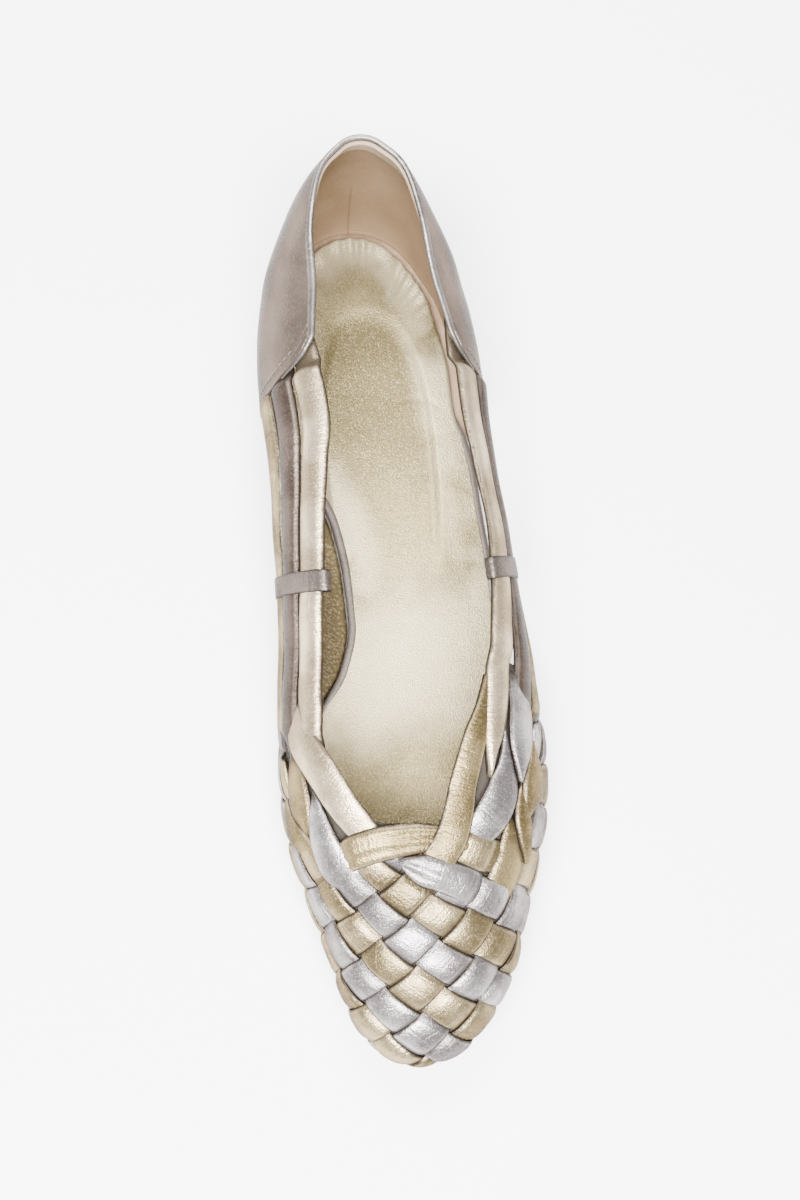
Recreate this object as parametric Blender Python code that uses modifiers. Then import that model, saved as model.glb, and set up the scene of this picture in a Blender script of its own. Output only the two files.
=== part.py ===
"""Braided leather ballet flat for the left foot, standing empty on its sole.

Lengths are in millimetres until a mesh is made. A place on the shoe is given by its
station, the distance from the back of the heel along the foot, and by its side, -1 on
the inner (medial) side and +1 on the outer (lateral) side. The toe points to -Y, the
outer side to +X, and the floor is z = 0.
"""

import math

import bmesh
import bpy
import numpy as np
from mathutils.geometry import delaunay_2d_cdt

OBJECT_NAME = "braided_ballet_flat"
MM = 0.001

# Driving dimensions of the last and of the leather.
LENGTH = 250.0
HEEL_POLE = 32.0
TOE_POLE = 224.0
HEEL_ROUNDNESS = 2.1
TOE_ROUNDNESS = 2.05
FEATHER_INSET = 3.0
GAP = 0.3
UPPER_WALL = 1.8
COUNTER_WALL = 2.0
SOLE_THICKNESS = 3.0
INSOLE_THICKNESS = 2.7
FEATHER_LIFT = SOLE_THICKNESS + GAP

# The last: centre line, half width at the bulge, underside of the sole over the floor,
# height of the bulge over the feather line, and height of the crown line.
LAST_COLUMNS = ("station", "centre", "half_width", "underside", "bulge", "crown")
LAST_ROWS = (
    (0, -1.7, 25.2, 17.5, 15.0, 102.8),
    (2, -1.7, 25.2, 17.5, 15.0, 95.9),
    (6, -1.7, 25.3, 17.5, 15.0, 92.0),
    (15, -1.7, 25.6, 17.5, 15.0, 84.2),
    (32, -1.7, 29.2, 17.5, 14.5, 72.6),
    (46, -1.7, 31.7, 17.5, 14.0, 67.1),
    (60, -1.5, 32.7, 15.3, 14.0, 65.7),
    (80, -0.9, 32.4, 11.3, 14.0, 62.8),
    (100, -0.1, 32.8, 7.2, 14.0, 60.0),
    (120, 0.6, 33.8, 3.7, 14.0, 57.0),
    (140, 0.7, 35.3, 1.2, 13.5, 53.5),
    (158, 0.3, 36.8, 0.0, 12.5, 49.5),
    (172, 0.0, 37.5, 0.0, 11.5, 45.5),
    (188, -0.5, 36.0, 0.0, 10.5, 40.5),
    (203, -1.2, 31.9, 0.0, 9.5, 36.0),
    (214, -1.7, 28.3, 0.3, 8.7, 32.6),
    (224, -2.2, 25.3, 1.0, 8.0, 29.7),
    (237, -3.8, 22.6, 2.9, 7.0, 26.5),
    (250, -5.7, 21.6, 5.5, 6.0, 24.0),
)

# The sole: half widths from the centre line, and how far the insole stays inside them.
SOLE_COLUMNS = ("station", "medial", "lateral", "ledge")
SOLE_ROWS = (
    (0, 22.6, 22.6, 3.8),
    (15, 23.0, 23.0, 3.8),
    (32, 26.4, 26.4, 3.8),
    (56, 29.5, 29.5, 3.8),
    (65, 28.8, 29.5, 3.8),
    (74, 24.8, 29.6, 1.6),
    (84, 19.6, 29.8, 0.6),
    (97, 15.2, 30.2, 0.6),
    (110, 13.9, 30.7, 0.6),
    (125, 13.8, 30.9, 0.6),
    (139, 17.6, 31.4, 0.6),
    (149, 25.0, 33.0, 1.6),
    (157, 32.0, 34.6, 3.8),
    (171, 35.1, 35.4, 3.8),
    (188, 33.8, 33.8, 3.8),
    (203, 29.8, 29.8, 3.8),
    (214, 26.2, 26.2, 3.8),
    (224, 23.3, 23.3, 3.8),
    (237, 20.6, 20.6, 3.8),
    (250, 19.6, 19.6, 3.8),
)
SOLE_HEEL_END = 2.5
SOLE_TOE_END = 248.3

# Edge of the foot opening on each side, by its length down the wall from the crown line.
# At the throat station the two sides are joined straight across.
TOPLINE_COLUMNS = ("station", "medial", "lateral")
TOPLINE_ROWS = (
    (48, 20.9, 25.8),
    (58, 19.3, 24.9),
    (70, 16.9, 24.2),
    (80, 16.4, 24.4),
    (92, 19.0, 26.4),
    (106, 22.5, 28.6),
    (121, 25.2, 27.2),
    (135, 27.0, 24.4),
    (150, 28.6, 21.0),
    (160, 29.0, 18.0),
    (166, 28.4, 15.4),
    (172, 25.4, 12.4),
    (178, 21.0, 9.2),
    (184, 16.2, 6.4),
    (187, 12.2, 4.6),
    (188.4, 7.0, 2.5),
)
THROAT_STATION = 188.4
CLOSING_STATION = 150.0

# Collar of the heel counter, and the counter's front edge by its rise from sole to collar.
COLLAR_COLUMNS = ("station", "medial", "lateral")
COLLAR_ROWS = (
    (0, 75.9, 75.9),
    (6, 75.0, 75.0),
    (15, 72.5, 72.3),
    (30, 67.0, 66.0),
    (45, 62.5, 60.2),
    (57, 60.5, 57.2),
)
FRONT_COLUMNS = ("rise", "front")
FRONT_ROWS = (
    (0.0, 63.5),
    (0.35, 66.0),
    (0.62, 65.6),
    (0.82, 63.6),
    (0.93, 61.0),
    (1.0, 57.0),
)
BINDING_RADIUS = 0.9
COUNTER_LEVELS = 10
COUNTER_TURNS = 44
RISE_STEP = 0.03

# Three straps on each side, measured down the wall from the opening's edge.
STRAP_COUNT = 3
STRAP_WIDTH = 9.6
STRAP_SPACE = 1.2
STRAP_PITCH = STRAP_WIDTH + STRAP_SPACE
STRAP_DEPTH = STRAP_COUNT * STRAP_WIDTH + (STRAP_COUNT - 1) * STRAP_SPACE
STRAP_REAR_TOP = 50.0
STRAP_REAR_FOOT = 58.0
SLOT_REAR_LEAD = 6.0
MIDDLE_REAR_LEAD = 4.0
SLOT_FRONT = 155.0
STRAP_RELIEF = 0.5
WING_START = 134.0
VAMP_FEATHER_START = 156.0
LAP_FULL = 2.0
LAP_CLEAR = 14.0

# The weave: where strip m of the first set crosses strip n of the second, across and
# along the unrolled wall, as a sum of terms in powers of m and n.
WEAVE_COLUMNS = ("power_m", "power_n", "across", "along")
WEAVE_ROWS = (
    (0, 0, -13.29, 223.17),
    (1, 0, 7.73, -4.36),
    (0, 1, 7.93, 8.17),
    (2, 0, -0.17, -0.47),
    (1, 1, 0.35, -1.25),
    (0, 2, 0.26, -0.44),
)
FIRST_STRIPS = np.arange(-6, 10)
SECOND_STRIPS = np.arange(-8, 8)
WEAVE_RELIEF = 0.6
WEAVE_SAMPLES = (-0.43, 0.0, 0.43)
WEAVE_LEAD = 2.0
FEATHER_FADE = 6.0
BAND_WIDTH = 8.0
BAND_RELIEF = 0.6
BAND_FLATNESS = 2.0

# Tape loops round the straps.
KEEPER_STATION = 119.5
KEEPER_WIDTH = 6.0
KEEPER_THICKNESS = 1.0
KEEPER_CLEARANCE = 0.4
KEEPER_END_ROOM = 0.6
KEEPER_POINTS = 10

# Facing of the inner arch: from under the lowest strap down and in to the edge of the sole.
FACING_START = 68.0
FACING_END = 147.0
FACING_STEP = 3.6
FACING_LEVELS = 7
FACING_DROP = 3.2
FACING_WALL = 1.2
FACING_SOLE_GAP = 0.6
FACING_SOLE_LIFT = 2.0
FACING_TURN = 2.5

# The heel.
HEEL_BREAST = 45.0
HEEL_TOP_INSET = 1.2
HEEL_FOOT_INSET = 3.6
HEEL_WAISTING = 0.8
LIFT_THICKNESS = 3.0
HEEL_LEVELS = 5
HEEL_POINTS = 12

# Colour, roughness and metallic value of each material.
MATERIALS = {
    "woven_leather": ((0.60, 0.50, 0.33, 1.0), 0.42, 0.45),
    "pewter_leather": ((0.42, 0.38, 0.34, 1.0), 0.42, 0.45),
    "silver_binding": ((0.66, 0.63, 0.58, 1.0), 0.40, 0.50),
    "gold_sock": ((0.68, 0.56, 0.34, 1.0), 0.45, 0.40),
    "sole_leather": ((0.30, 0.22, 0.15, 1.0), 0.60, 0.0),
    "heel_cover": ((0.40, 0.36, 0.32, 1.0), 0.45, 0.40),
    "heel_rubber": ((0.06, 0.05, 0.05, 1.0), 0.70, 0.0),
}

MEDIAL = -1.0
LATERAL = 1.0
PROFILE_STEPS = np.linspace(0.0, 2.0, 61)

# Spacing of the points along edges, round the ends, and inside flat sheets.
EDGE_STEP = 5.5
FEATHER_STEP = 4.5
TURN_STEP = 0.115
EDGE_CLEARANCE = 1.3
PLATE_ACROSS = np.linspace(-30.0, 30.0, 7)
PLATE_MARGIN = 5.0


def column(rows, columns, name, places):
    """Read one column of a table by its first column, through its rows without overshoot."""
    table = np.array(rows, dtype=float)
    at = table[:, 0]
    value = table[:, columns.index(name)]
    slope = np.diff(value) / np.diff(at)
    same_way = slope[1:] * slope[:-1] > 0.0
    both = np.where(same_way, slope[1:] + slope[:-1], 1.0)
    tangent = np.zeros_like(value)
    tangent[1:-1] = np.where(same_way, 2.0 * slope[1:] * slope[:-1] / both, 0.0)
    tangent[0] = slope[0]
    tangent[-1] = slope[-1]
    s = np.clip(np.asarray(places, dtype=float), at[0], at[-1])
    k = np.clip(np.searchsorted(at, s) - 1, 0, len(at) - 2)
    span = at[k + 1] - at[k]
    f = (s - at[k]) / span
    return (
        value[k] * (1.0 + 2.0 * f) * (1.0 - f) ** 2
        + value[k + 1] * f * f * (3.0 - 2.0 * f)
        + tangent[k] * span * f * (1.0 - f) ** 2
        - tangent[k + 1] * span * f * f * (1.0 - f)
    )


def by_side(rows, columns, side, stations):
    """Read the medial or the lateral column of a table, whichever side each place is on."""
    medial = column(rows, columns, "medial", stations)
    lateral = column(rows, columns, "lateral", stations)
    return np.where(np.asarray(side) < 0.0, medial, lateral)


def last(name, stations):
    """Read a column of the last's own table."""
    return column(LAST_ROWS, LAST_COLUMNS, name, stations)


def end_closure(stations, heel_end, toe_end):
    """Factor on the half width that rounds off the heel and the toe."""
    s = np.asarray(stations, dtype=float)
    heel = np.clip((HEEL_POLE - s) / (HEEL_POLE - heel_end), 0.0, 1.0)
    toe = np.clip((s - TOE_POLE) / (toe_end - TOE_POLE), 0.0, 1.0)
    heel_part = (1.0 - heel ** HEEL_ROUNDNESS) ** (1.0 / HEEL_ROUNDNESS)
    toe_part = (1.0 - toe ** TOE_ROUNDNESS) ** (1.0 / TOE_ROUNDNESS)
    return heel_part * toe_part


def smooth_step(value):
    """Ease from 0 to 1."""
    f = np.clip(value, 0.0, 1.0)
    return f * f * (3.0 - 2.0 * f)


def feather_height(stations):
    """Height of the line where the upper stands on the sole."""
    return last("underside", stations) + FEATHER_LIFT


def last_surface(side, stations, profile):
    """Points of the last. Profile runs 0 at the feather, 1 at the bulge, 2 at the crown."""
    side, s, t = np.broadcast_arrays(side, np.asarray(stations, float), profile)
    pole = np.clip(s, HEEL_POLE, TOE_POLE)
    pole_x = last("centre", pole)
    half = last("half_width", s) * end_closure(s, 0.0, LENGTH)
    reach_x = last("centre", s) + side * half - pole_x
    reach_s = s - pole
    inset = 1.0 - FEATHER_INSET / np.hypot(reach_x, reach_s)
    low = np.clip(t, 0.0, 1.0) * math.pi / 2.0
    high = np.clip(t - 1.0, 0.0, 1.0) * math.pi / 2.0
    r = np.where(t < 1.0, inset + (1.0 - inset) * np.sin(low), np.cos(high))
    station = pole + r * reach_s
    foot = feather_height(s)
    bulge = last("bulge", s)
    z_low = foot + bulge * (1.0 - np.cos(low))
    crown = last("crown", np.where(s < HEEL_POLE, s, station))
    z_high = foot + bulge + (crown - foot - bulge) * np.sin(high)
    z = np.where(t < 1.0, z_low, z_high)
    return np.stack((pole_x + r * reach_x, LENGTH / 2.0 - station, z), axis=-1)


def profile_at_height(side, stations, heights):
    """Profile value of the last at a given height, for each station."""
    s = np.atleast_1d(np.asarray(stations, dtype=float))
    z = np.broadcast_to(np.asarray(heights, dtype=float), s.shape)
    sides = np.broadcast_to(np.asarray(side, dtype=float), s.shape)
    walls = last_surface(sides[:, None], s[:, None], PROFILE_STEPS[None, :])[..., 2]
    return np.array([np.interp(h, wall, PROFILE_STEPS) for h, wall in zip(z, walls)])


def girths(side, stations):
    """Lengths round the wall from the crown, one row of profile steps per station."""
    s = np.atleast_1d(np.asarray(stations, dtype=float))
    sides = np.broadcast_to(np.asarray(side, dtype=float), s.shape)
    points = last_surface(sides[:, None], s[:, None], PROFILE_STEPS[None, ::-1])
    pieces = np.linalg.norm(np.diff(points, axis=1), axis=2)
    return np.concatenate((np.zeros((len(s), 1)), np.cumsum(pieces, axis=1)), axis=1)


def girth_at(side, stations, profile):
    """Length round the wall from the crown to the given profile value."""
    rows = girths(side, stations)
    values = np.broadcast_to(profile, (len(rows),))
    return np.array([np.interp(2.0 - t, 2.0 - PROFILE_STEPS[::-1], row) for t, row in zip(values, rows)])


def topline_girth(side, stations):
    """Length round the wall from the crown to the edge of the foot opening."""
    s = np.atleast_1d(np.asarray(stations, dtype=float))
    return by_side(TOPLINE_ROWS, TOPLINE_COLUMNS, side, s)


def lower_edge_girth(side, stations):
    """Length round the wall from the crown to the lower edge of the straps and of the wing."""
    edge = topline_girth(side, stations) + STRAP_DEPTH
    foot = girth_at(side, stations, 0.0)
    drop = smooth_step((stations - WING_START) / (VAMP_FEATHER_START - WING_START))
    return edge + (foot - edge) * drop


def toe_rays():
    """Directions from the toe's pole, with the signed distance back from the tip."""
    turn = np.linspace(-1.0, 1.0, 401)
    back = np.sign(turn) * (LENGTH - TOE_POLE) * turn ** 2
    s = LENGTH - np.abs(back)
    side = np.where(turn < 0.0, MEDIAL, LATERAL)
    half = last("half_width", s) * end_closure(s, 0.0, LENGTH)
    reach_x = last("centre", s) + side * half - last("centre", TOE_POLE)
    return np.arctan2(reach_x, s - TOE_POLE), back


TOE_ANGLES, TOE_BACKS = toe_rays()


def unroll(side, stations, girth):
    """Flat place of wall points: across by their girth, along by their station."""
    s = np.atleast_1d(np.asarray(stations, dtype=float))
    angle = np.interp(side * (LENGTH - s), TOE_BACKS, TOE_ANGLES)
    in_toe = s > TOE_POLE
    across = np.where(in_toe, girth * np.sin(angle), side * girth)
    along = np.where(in_toe, TOE_POLE + girth * np.cos(angle), s)
    return np.stack((across, along), axis=-1)


def roll_up(flat):
    """Side, station and girth of flat places."""
    across = flat[:, 0]
    ahead = flat[:, 1] - TOE_POLE
    back = np.interp(np.arctan2(across, ahead), TOE_ANGLES, TOE_BACKS)
    in_toe = ahead > 0.0
    side = np.where(in_toe, np.where(back < 0.0, MEDIAL, LATERAL), np.where(across < 0.0, MEDIAL, LATERAL))
    station = np.where(in_toe, LENGTH - np.abs(back), flat[:, 1])
    girth = np.where(in_toe, np.hypot(across, ahead), np.abs(across))
    return side, station, girth


def lasted(flat):
    """Points of the last under flat places of the unrolled wall."""
    side, station, girth = roll_up(flat)
    rows = girths(side, station)
    profile = np.array([np.interp(g, row, PROFILE_STEPS[::-1]) for g, row in zip(girth, rows)])
    return last_surface(side, station, profile)


def lasted_normals(flat, reach=0.6):
    """Outward normals of the last under flat places."""
    across = lasted(flat + (reach, 0.0)) - lasted(flat - (reach, 0.0))
    along = lasted(flat + (0.0, reach)) - lasted(flat - (0.0, reach))
    normal = np.cross(along, across)
    return normal / np.linalg.norm(normal, axis=1, keepdims=True)


def steps(start, stop, spacing):
    """Evenly spaced values from start to stop, about one spacing apart."""
    count = max(2, int(round(abs(stop - start) / spacing)) + 1)
    return np.linspace(start, stop, count)


def strap_rear(depth):
    """Station where the straps end under the counter, at a depth below the topline."""
    return STRAP_REAR_TOP + (STRAP_REAR_FOOT - STRAP_REAR_TOP) * depth / STRAP_DEPTH


def half_pattern(side):
    """Edge of one half of the unrolled upper, from the throat round to the toe."""
    throat_turn = steps(0.0, 1.0, TURN_STEP)
    throat = THROAT_STATION - (THROAT_STATION - CLOSING_STATION) * throat_turn ** 2
    opening = np.concatenate((throat, steps(CLOSING_STATION, STRAP_REAR_TOP, EDGE_STEP)[1:]))
    rear_depth = steps(0.0, STRAP_DEPTH, EDGE_STEP)[1:-1]
    rear = strap_rear(rear_depth)
    lower = steps(STRAP_REAR_FOOT, WING_START, EDGE_STEP)
    wing = steps(WING_START, VAMP_FEATHER_START, FEATHER_STEP)[1:-1]
    feather = steps(VAMP_FEATHER_START, TOE_POLE, FEATHER_STEP)
    toe_turn = steps(1.0, 0.0, TURN_STEP)[1:]
    toe = LENGTH - (LENGTH - TOE_POLE) * toe_turn ** 2
    foot = np.concatenate((feather, toe))
    return np.concatenate((
        unroll(side, opening, topline_girth(side, opening)),
        unroll(side, rear, topline_girth(side, rear) + rear_depth),
        unroll(side, lower, lower_edge_girth(side, lower)),
        unroll(side, wing, lower_edge_girth(side, wing)),
        unroll(side, foot, girth_at(side, foot, 0.0)),
    ))


def strap_slots(side):
    """Edges of the two spaces between the straps of one side."""
    slots = []
    for number in range(1, STRAP_COUNT):
        upper_depth = number * STRAP_PITCH - STRAP_SPACE
        lower_depth = number * STRAP_PITCH
        out = steps(strap_rear(upper_depth) + SLOT_REAR_LEAD, SLOT_FRONT, EDGE_STEP)
        home = out[::-1]
        slots.append(np.concatenate((
            unroll(side, out, topline_girth(side, out) + upper_depth),
            unroll(side, home, topline_girth(side, home) + lower_depth),
        )))
    return slots


def strap_middles(side):
    """Points along the middle of each strap."""
    lines = []
    for number in range(STRAP_COUNT):
        depth = number * STRAP_PITCH + STRAP_WIDTH / 2.0
        s = steps(strap_rear(depth) + MIDDLE_REAR_LEAD, SLOT_FRONT, EDGE_STEP)
        lines.append(unroll(side, s, topline_girth(side, s) + depth))
    return np.concatenate(lines)


def weave_term(name):
    """Read a column of the weave's own table."""
    return np.array(WEAVE_ROWS)[:, WEAVE_COLUMNS.index(name)]


def weave_crossing(first, second):
    """Flat place where a strip of the first set crosses one of the second."""
    m = np.asarray(first, dtype=float)[..., None]
    n = np.asarray(second, dtype=float)[..., None]
    terms = m ** weave_term("power_m") * n ** weave_term("power_n")
    return np.stack((terms @ weave_term("across"), terms @ weave_term("along")), axis=-1)


def weave_place(flat, rounds=12, reach=0.01):
    """Strip numbers of flat places, closing in on the crossing by Newton's rule."""
    place = np.zeros_like(flat)
    for _ in range(rounds):
        m, n = place.T
        miss = flat - weave_crossing(m, n)
        by_m = (weave_crossing(m + reach, n) - weave_crossing(m - reach, n)) / (2.0 * reach)
        by_n = (weave_crossing(m, n + reach) - weave_crossing(m, n - reach)) / (2.0 * reach)
        place += np.linalg.solve(np.stack((by_m, by_n), axis=-1), miss[..., None])[..., 0]
    return place


def weave_points():
    """Flat points on a small grid inside every crossing of the weave."""
    offset = np.array(WEAVE_SAMPLES)
    first = (FIRST_STRIPS[:, None] + offset).ravel()
    second = (SECOND_STRIPS[:, None] + offset).ravel()
    m, n = np.meshgrid(first, second)
    return weave_crossing(m.ravel(), n.ravel())


def weave_height(flat):
    """Rise of the woven strips: up where a strip passes over, down where it dives under."""
    place = weave_place(flat)
    number = np.round(place)
    offset = place - number
    first_over = (number.sum(axis=1) % 2.0) == 0.0
    along = np.where(first_over, offset[:, 1], offset[:, 0])
    return np.cos(2.0 * math.pi * along)


def inside(polygon, points):
    """Whether points lie inside a closed polygon."""
    a = polygon
    b = np.roll(polygon, -1, axis=0)
    px = points[:, 0][:, None]
    py = points[:, 1][:, None]
    spans = (a[:, 1] > py) != (b[:, 1] > py)
    rise = np.where(a[:, 1] == b[:, 1], 1.0, b[:, 1] - a[:, 1])
    cross = a[:, 0] + (py - a[:, 1]) * (b[:, 0] - a[:, 0]) / rise
    return (spans & (px < cross)).sum(axis=1) % 2 == 1


def edge_distance(polygon, points):
    """Distance of points from the edges of a closed polygon."""
    a = polygon[None, :, :]
    d = np.roll(polygon, -1, axis=0)[None, :, :] - a
    rel = points[:, None, :] - a
    f = np.clip((rel * d).sum(axis=2) / (d * d).sum(axis=2), 0.0, 1.0)
    return np.linalg.norm(rel - f[..., None] * d, axis=2).min(axis=1)


def cut_sheet(outline, holes, inner_points):
    """Triangles of a flat sheet with holes, through its edges and chosen inner points."""
    loops = [outline] + holes
    keep = inside(outline, inner_points) & (edge_distance(outline, inner_points) > EDGE_CLEARANCE)
    for hole in holes:
        keep &= ~inside(hole, inner_points) & (edge_distance(hole, inner_points) > EDGE_CLEARANCE)
    points = np.concatenate(loops + [inner_points[keep]])
    edges = []
    start = 0
    for loop in loops:
        edges += [(start + k, start + (k + 1) % len(loop)) for k in range(len(loop))]
        start += len(loop)
    result = delaunay_2d_cdt([tuple(p) for p in points], edges, [], 0, 1e-6)
    flat = np.array([tuple(v) for v in result[0]])
    faces = np.array([tuple(f) for f in result[2]])
    middle = flat[faces].mean(axis=1)
    wanted = inside(outline, middle)
    for hole in holes:
        wanted &= ~inside(hole, middle)
    faces = faces[wanted]
    used = np.unique(faces)
    renumber = np.zeros(len(flat), dtype=int)
    renumber[used] = np.arange(len(used))
    return flat[used], renumber[faces]


def make_material(name):
    """Principled material from the table of materials."""
    colour, roughness, metallic = MATERIALS[name]
    material = bpy.data.materials.new(name)
    material.use_nodes = True
    shader = material.node_tree.nodes["Principled BSDF"]
    shader.inputs["Base Color"].default_value = colour
    shader.inputs["Roughness"].default_value = roughness
    shader.inputs["Metallic"].default_value = metallic
    material.diffuse_color = colour
    return material


def add_piece(name, mesh, material):
    """Put a mesh in the shoe's collection with its own material."""
    piece = bpy.data.objects.new(name, mesh)
    mesh.materials.clear()
    mesh.materials.append(make_material(material))
    bpy.data.collections[OBJECT_NAME].objects.link(piece)
    mesh.shade_smooth()
    return piece


def new_mesh(name, points, faces):
    """Mesh in metres from points in millimetres."""
    mesh = bpy.data.meshes.new(name)
    mesh.from_pydata((np.asarray(points) * MM).tolist(), [], [tuple(map(int, f)) for f in faces])
    return mesh


def thicken(piece, wall):
    """Give an open surface its wall, on the inside of the surface."""
    solidify = piece.modifiers.new("wall", "SOLIDIFY")
    solidify.thickness = wall * MM
    solidify.offset = -1.0
    solidify.use_even_offset = True
    return solidify


def settle(piece):
    """Replace a piece's mesh by the one that its modifiers give."""
    graph = bpy.context.evaluated_depsgraph_get()
    mesh = bpy.data.meshes.new_from_object(piece.evaluated_get(graph))
    piece.modifiers.clear()
    piece.data = mesh
    return mesh


def upper_relief(flat):
    """Rise of straps, opening band and weave over the smooth wall."""
    side, station, girth = roll_up(flat)
    depth = girth - topline_girth(side, station)
    across = np.mod(depth, STRAP_PITCH) / STRAP_WIDTH
    strap = STRAP_RELIEF * np.clip(4.0 * across * (1.0 - across), 0.0, 1.0)
    strap *= 1.0 - counter_lap(flat)
    fade = smooth_step((girth_at(side, station, 0.0) - girth) / FEATHER_FADE)
    weave = WEAVE_RELIEF * weave_height(flat) * fade
    ahead_of_throat = np.hypot(girth / BAND_FLATNESS, station - THROAT_STATION) < BAND_WIDTH
    at_edge = np.where(station < THROAT_STATION, depth < BAND_WIDTH, ahead_of_throat)
    weave = np.where(at_edge, BAND_RELIEF, weave)
    return np.where(station < SLOT_FRONT, strap, weave)


def counter_front(rise):
    """Station of the counter's front edge, by the rise from the sole to the collar."""
    return column(FRONT_ROWS, FRONT_COLUMNS, "front", rise)


def counter_lap(flat):
    """1 where a strap lies under the counter, easing to 0 ahead of its front edge."""
    side, station, _ = roll_up(flat)
    height = lasted(flat)[:, 2]
    foot = feather_height(counter_front(0.0))
    top = by_side(COLLAR_ROWS, COLLAR_COLUMNS, side, counter_front(1.0))
    front = counter_front(np.clip((height - foot) / (top - foot), 0.0, 1.0))
    return 1.0 - smooth_step((station - front - LAP_FULL) / (LAP_CLEAR - LAP_FULL))


def make_upper():
    """Woven vamp with its six side straps: one flat pattern, lasted and given its wall."""
    medial = half_pattern(MEDIAL)
    lateral = half_pattern(LATERAL)
    outline = np.concatenate((medial, lateral[-2::-1]))
    slots = strap_slots(MEDIAL) + strap_slots(LATERAL)
    inner = weave_points()
    inner = inner[inner[:, 1] > SLOT_FRONT + WEAVE_LEAD]
    inner = np.concatenate((inner, strap_middles(MEDIAL), strap_middles(LATERAL)))
    flat, faces = cut_sheet(outline, slots, inner)
    normals = lasted_normals(flat)
    tuck = (COUNTER_WALL + GAP) * counter_lap(flat)
    points = lasted(flat) - normals * tuck[:, None]
    piece = add_piece("upper", new_mesh("upper", points, faces[:, ::-1]), "woven_leather")
    thicken(piece, UPPER_WALL)
    mesh = settle(piece)
    places = np.empty(3 * len(mesh.vertices))
    mesh.vertices.foreach_get("co", places)
    outer = slice(0, 3 * len(flat))
    places[outer] += (normals * upper_relief(flat)[:, None] * MM).ravel()
    mesh.vertices.foreach_set("co", places)
    return piece


def counter_points(rise, turn):
    """Points of the counter: rise 0 at the sole and 1 at the collar, turn -1 to 1 round the heel."""
    side = np.where(turn < 0.0, MEDIAL, LATERAL)
    s = counter_front(rise) * turn ** 2
    foot = feather_height(s)
    height = foot + rise * (by_side(COLLAR_ROWS, COLLAR_COLUMNS, side, s) - foot)
    return last_surface(side, s, profile_at_height(side, s, height))


def make_counter():
    """Smooth back part, from the sole to the collar."""
    levels = np.linspace(0.0, 1.0, COUNTER_LEVELS)
    width = COUNTER_TURNS + 1
    rise, turn = np.meshgrid(levels, np.linspace(-1.0, 1.0, width), indexing="ij")
    points = counter_points(rise.ravel(), turn.ravel())
    faces = [
        (r * width + c, (r + 1) * width + c, (r + 1) * width + c + 1, r * width + c + 1)
        for r in range(COUNTER_LEVELS - 1)
        for c in range(COUNTER_TURNS)
    ]
    piece = add_piece("heel_counter", new_mesh("heel_counter", points, faces), "pewter_leather")
    thicken(piece, COUNTER_WALL)
    return piece


def make_binding():
    """Rolled binding that sits on the collar edge of the counter."""
    turn = np.linspace(-1.0, 1.0, COUNTER_TURNS + 1)
    edge = counter_points(np.ones_like(turn), turn)
    below = counter_points(np.full_like(turn, 1.0 - RISE_STEP), turn)
    along = np.gradient(edge, axis=0)
    along /= np.linalg.norm(along, axis=1, keepdims=True)
    up = edge - below
    up -= along * (up * along).sum(axis=1, keepdims=True)
    up /= np.linalg.norm(up, axis=1, keepdims=True)
    inward = np.cross(along, up)
    path = edge + up * (BINDING_RADIUS + GAP) + inward * COUNTER_WALL / 2.0
    curve = bpy.data.curves.new("collar_binding", "CURVE")
    curve.dimensions = "3D"
    curve.bevel_depth = BINDING_RADIUS * MM
    curve.bevel_resolution = 2
    curve.use_fill_caps = True
    spline = curve.splines.new("POLY")
    spline.points.add(len(path) - 1)
    for point, place in zip(spline.points, path * MM):
        point.co = (*place, 1.0)
    piece = bpy.data.objects.new("collar_binding", curve)
    curve.materials.append(make_material("silver_binding"))
    bpy.data.collections[OBJECT_NAME].objects.link(piece)
    return piece


def keeper_loop(side, station):
    """Closed path of the tape round the straps at one station."""
    reach = KEEPER_CLEARANCE + KEEPER_THICKNESS / 2.0
    beyond = reach + KEEPER_END_ROOM
    depth = np.linspace(-beyond, STRAP_DEPTH + beyond, KEEPER_POINTS)
    s = np.full_like(depth, station)
    flat = unroll(side, s, topline_girth(side, s) + depth)
    points = lasted(flat)
    normals = lasted_normals(flat)
    outer = points + normals * (STRAP_RELIEF + reach)
    inner = points - normals * (UPPER_WALL + reach)
    return np.concatenate((outer, inner[::-1]))


def make_keeper(name, side):
    """Flat tape loop round the three straps of one side."""
    rings = []
    for station in (KEEPER_STATION - KEEPER_WIDTH / 2.0, KEEPER_STATION + KEEPER_WIDTH / 2.0):
        loop = keeper_loop(side, station)
        tangent = np.roll(loop, -1, axis=0) - np.roll(loop, 1, axis=0)
        out = np.cross(tangent, (0.0, 1.0, 0.0))
        out /= np.linalg.norm(out, axis=1, keepdims=True)
        rings.append(loop + out * KEEPER_THICKNESS / 2.0)
        rings.append(loop - out * KEEPER_THICKNESS / 2.0)
    order = (rings[0], rings[1], rings[3], rings[2])
    count = len(rings[0])
    points = np.concatenate(order)
    faces = [
        (a * count + k, b * count + k, b * count + (k + 1) % count, a * count + (k + 1) % count)
        for a, b in ((0, 1), (1, 2), (2, 3), (3, 0))
        for k in range(count)
    ]
    mesh = new_mesh(name, points, faces)
    face_outwards(mesh)
    return add_piece(name, mesh, "silver_binding")


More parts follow.
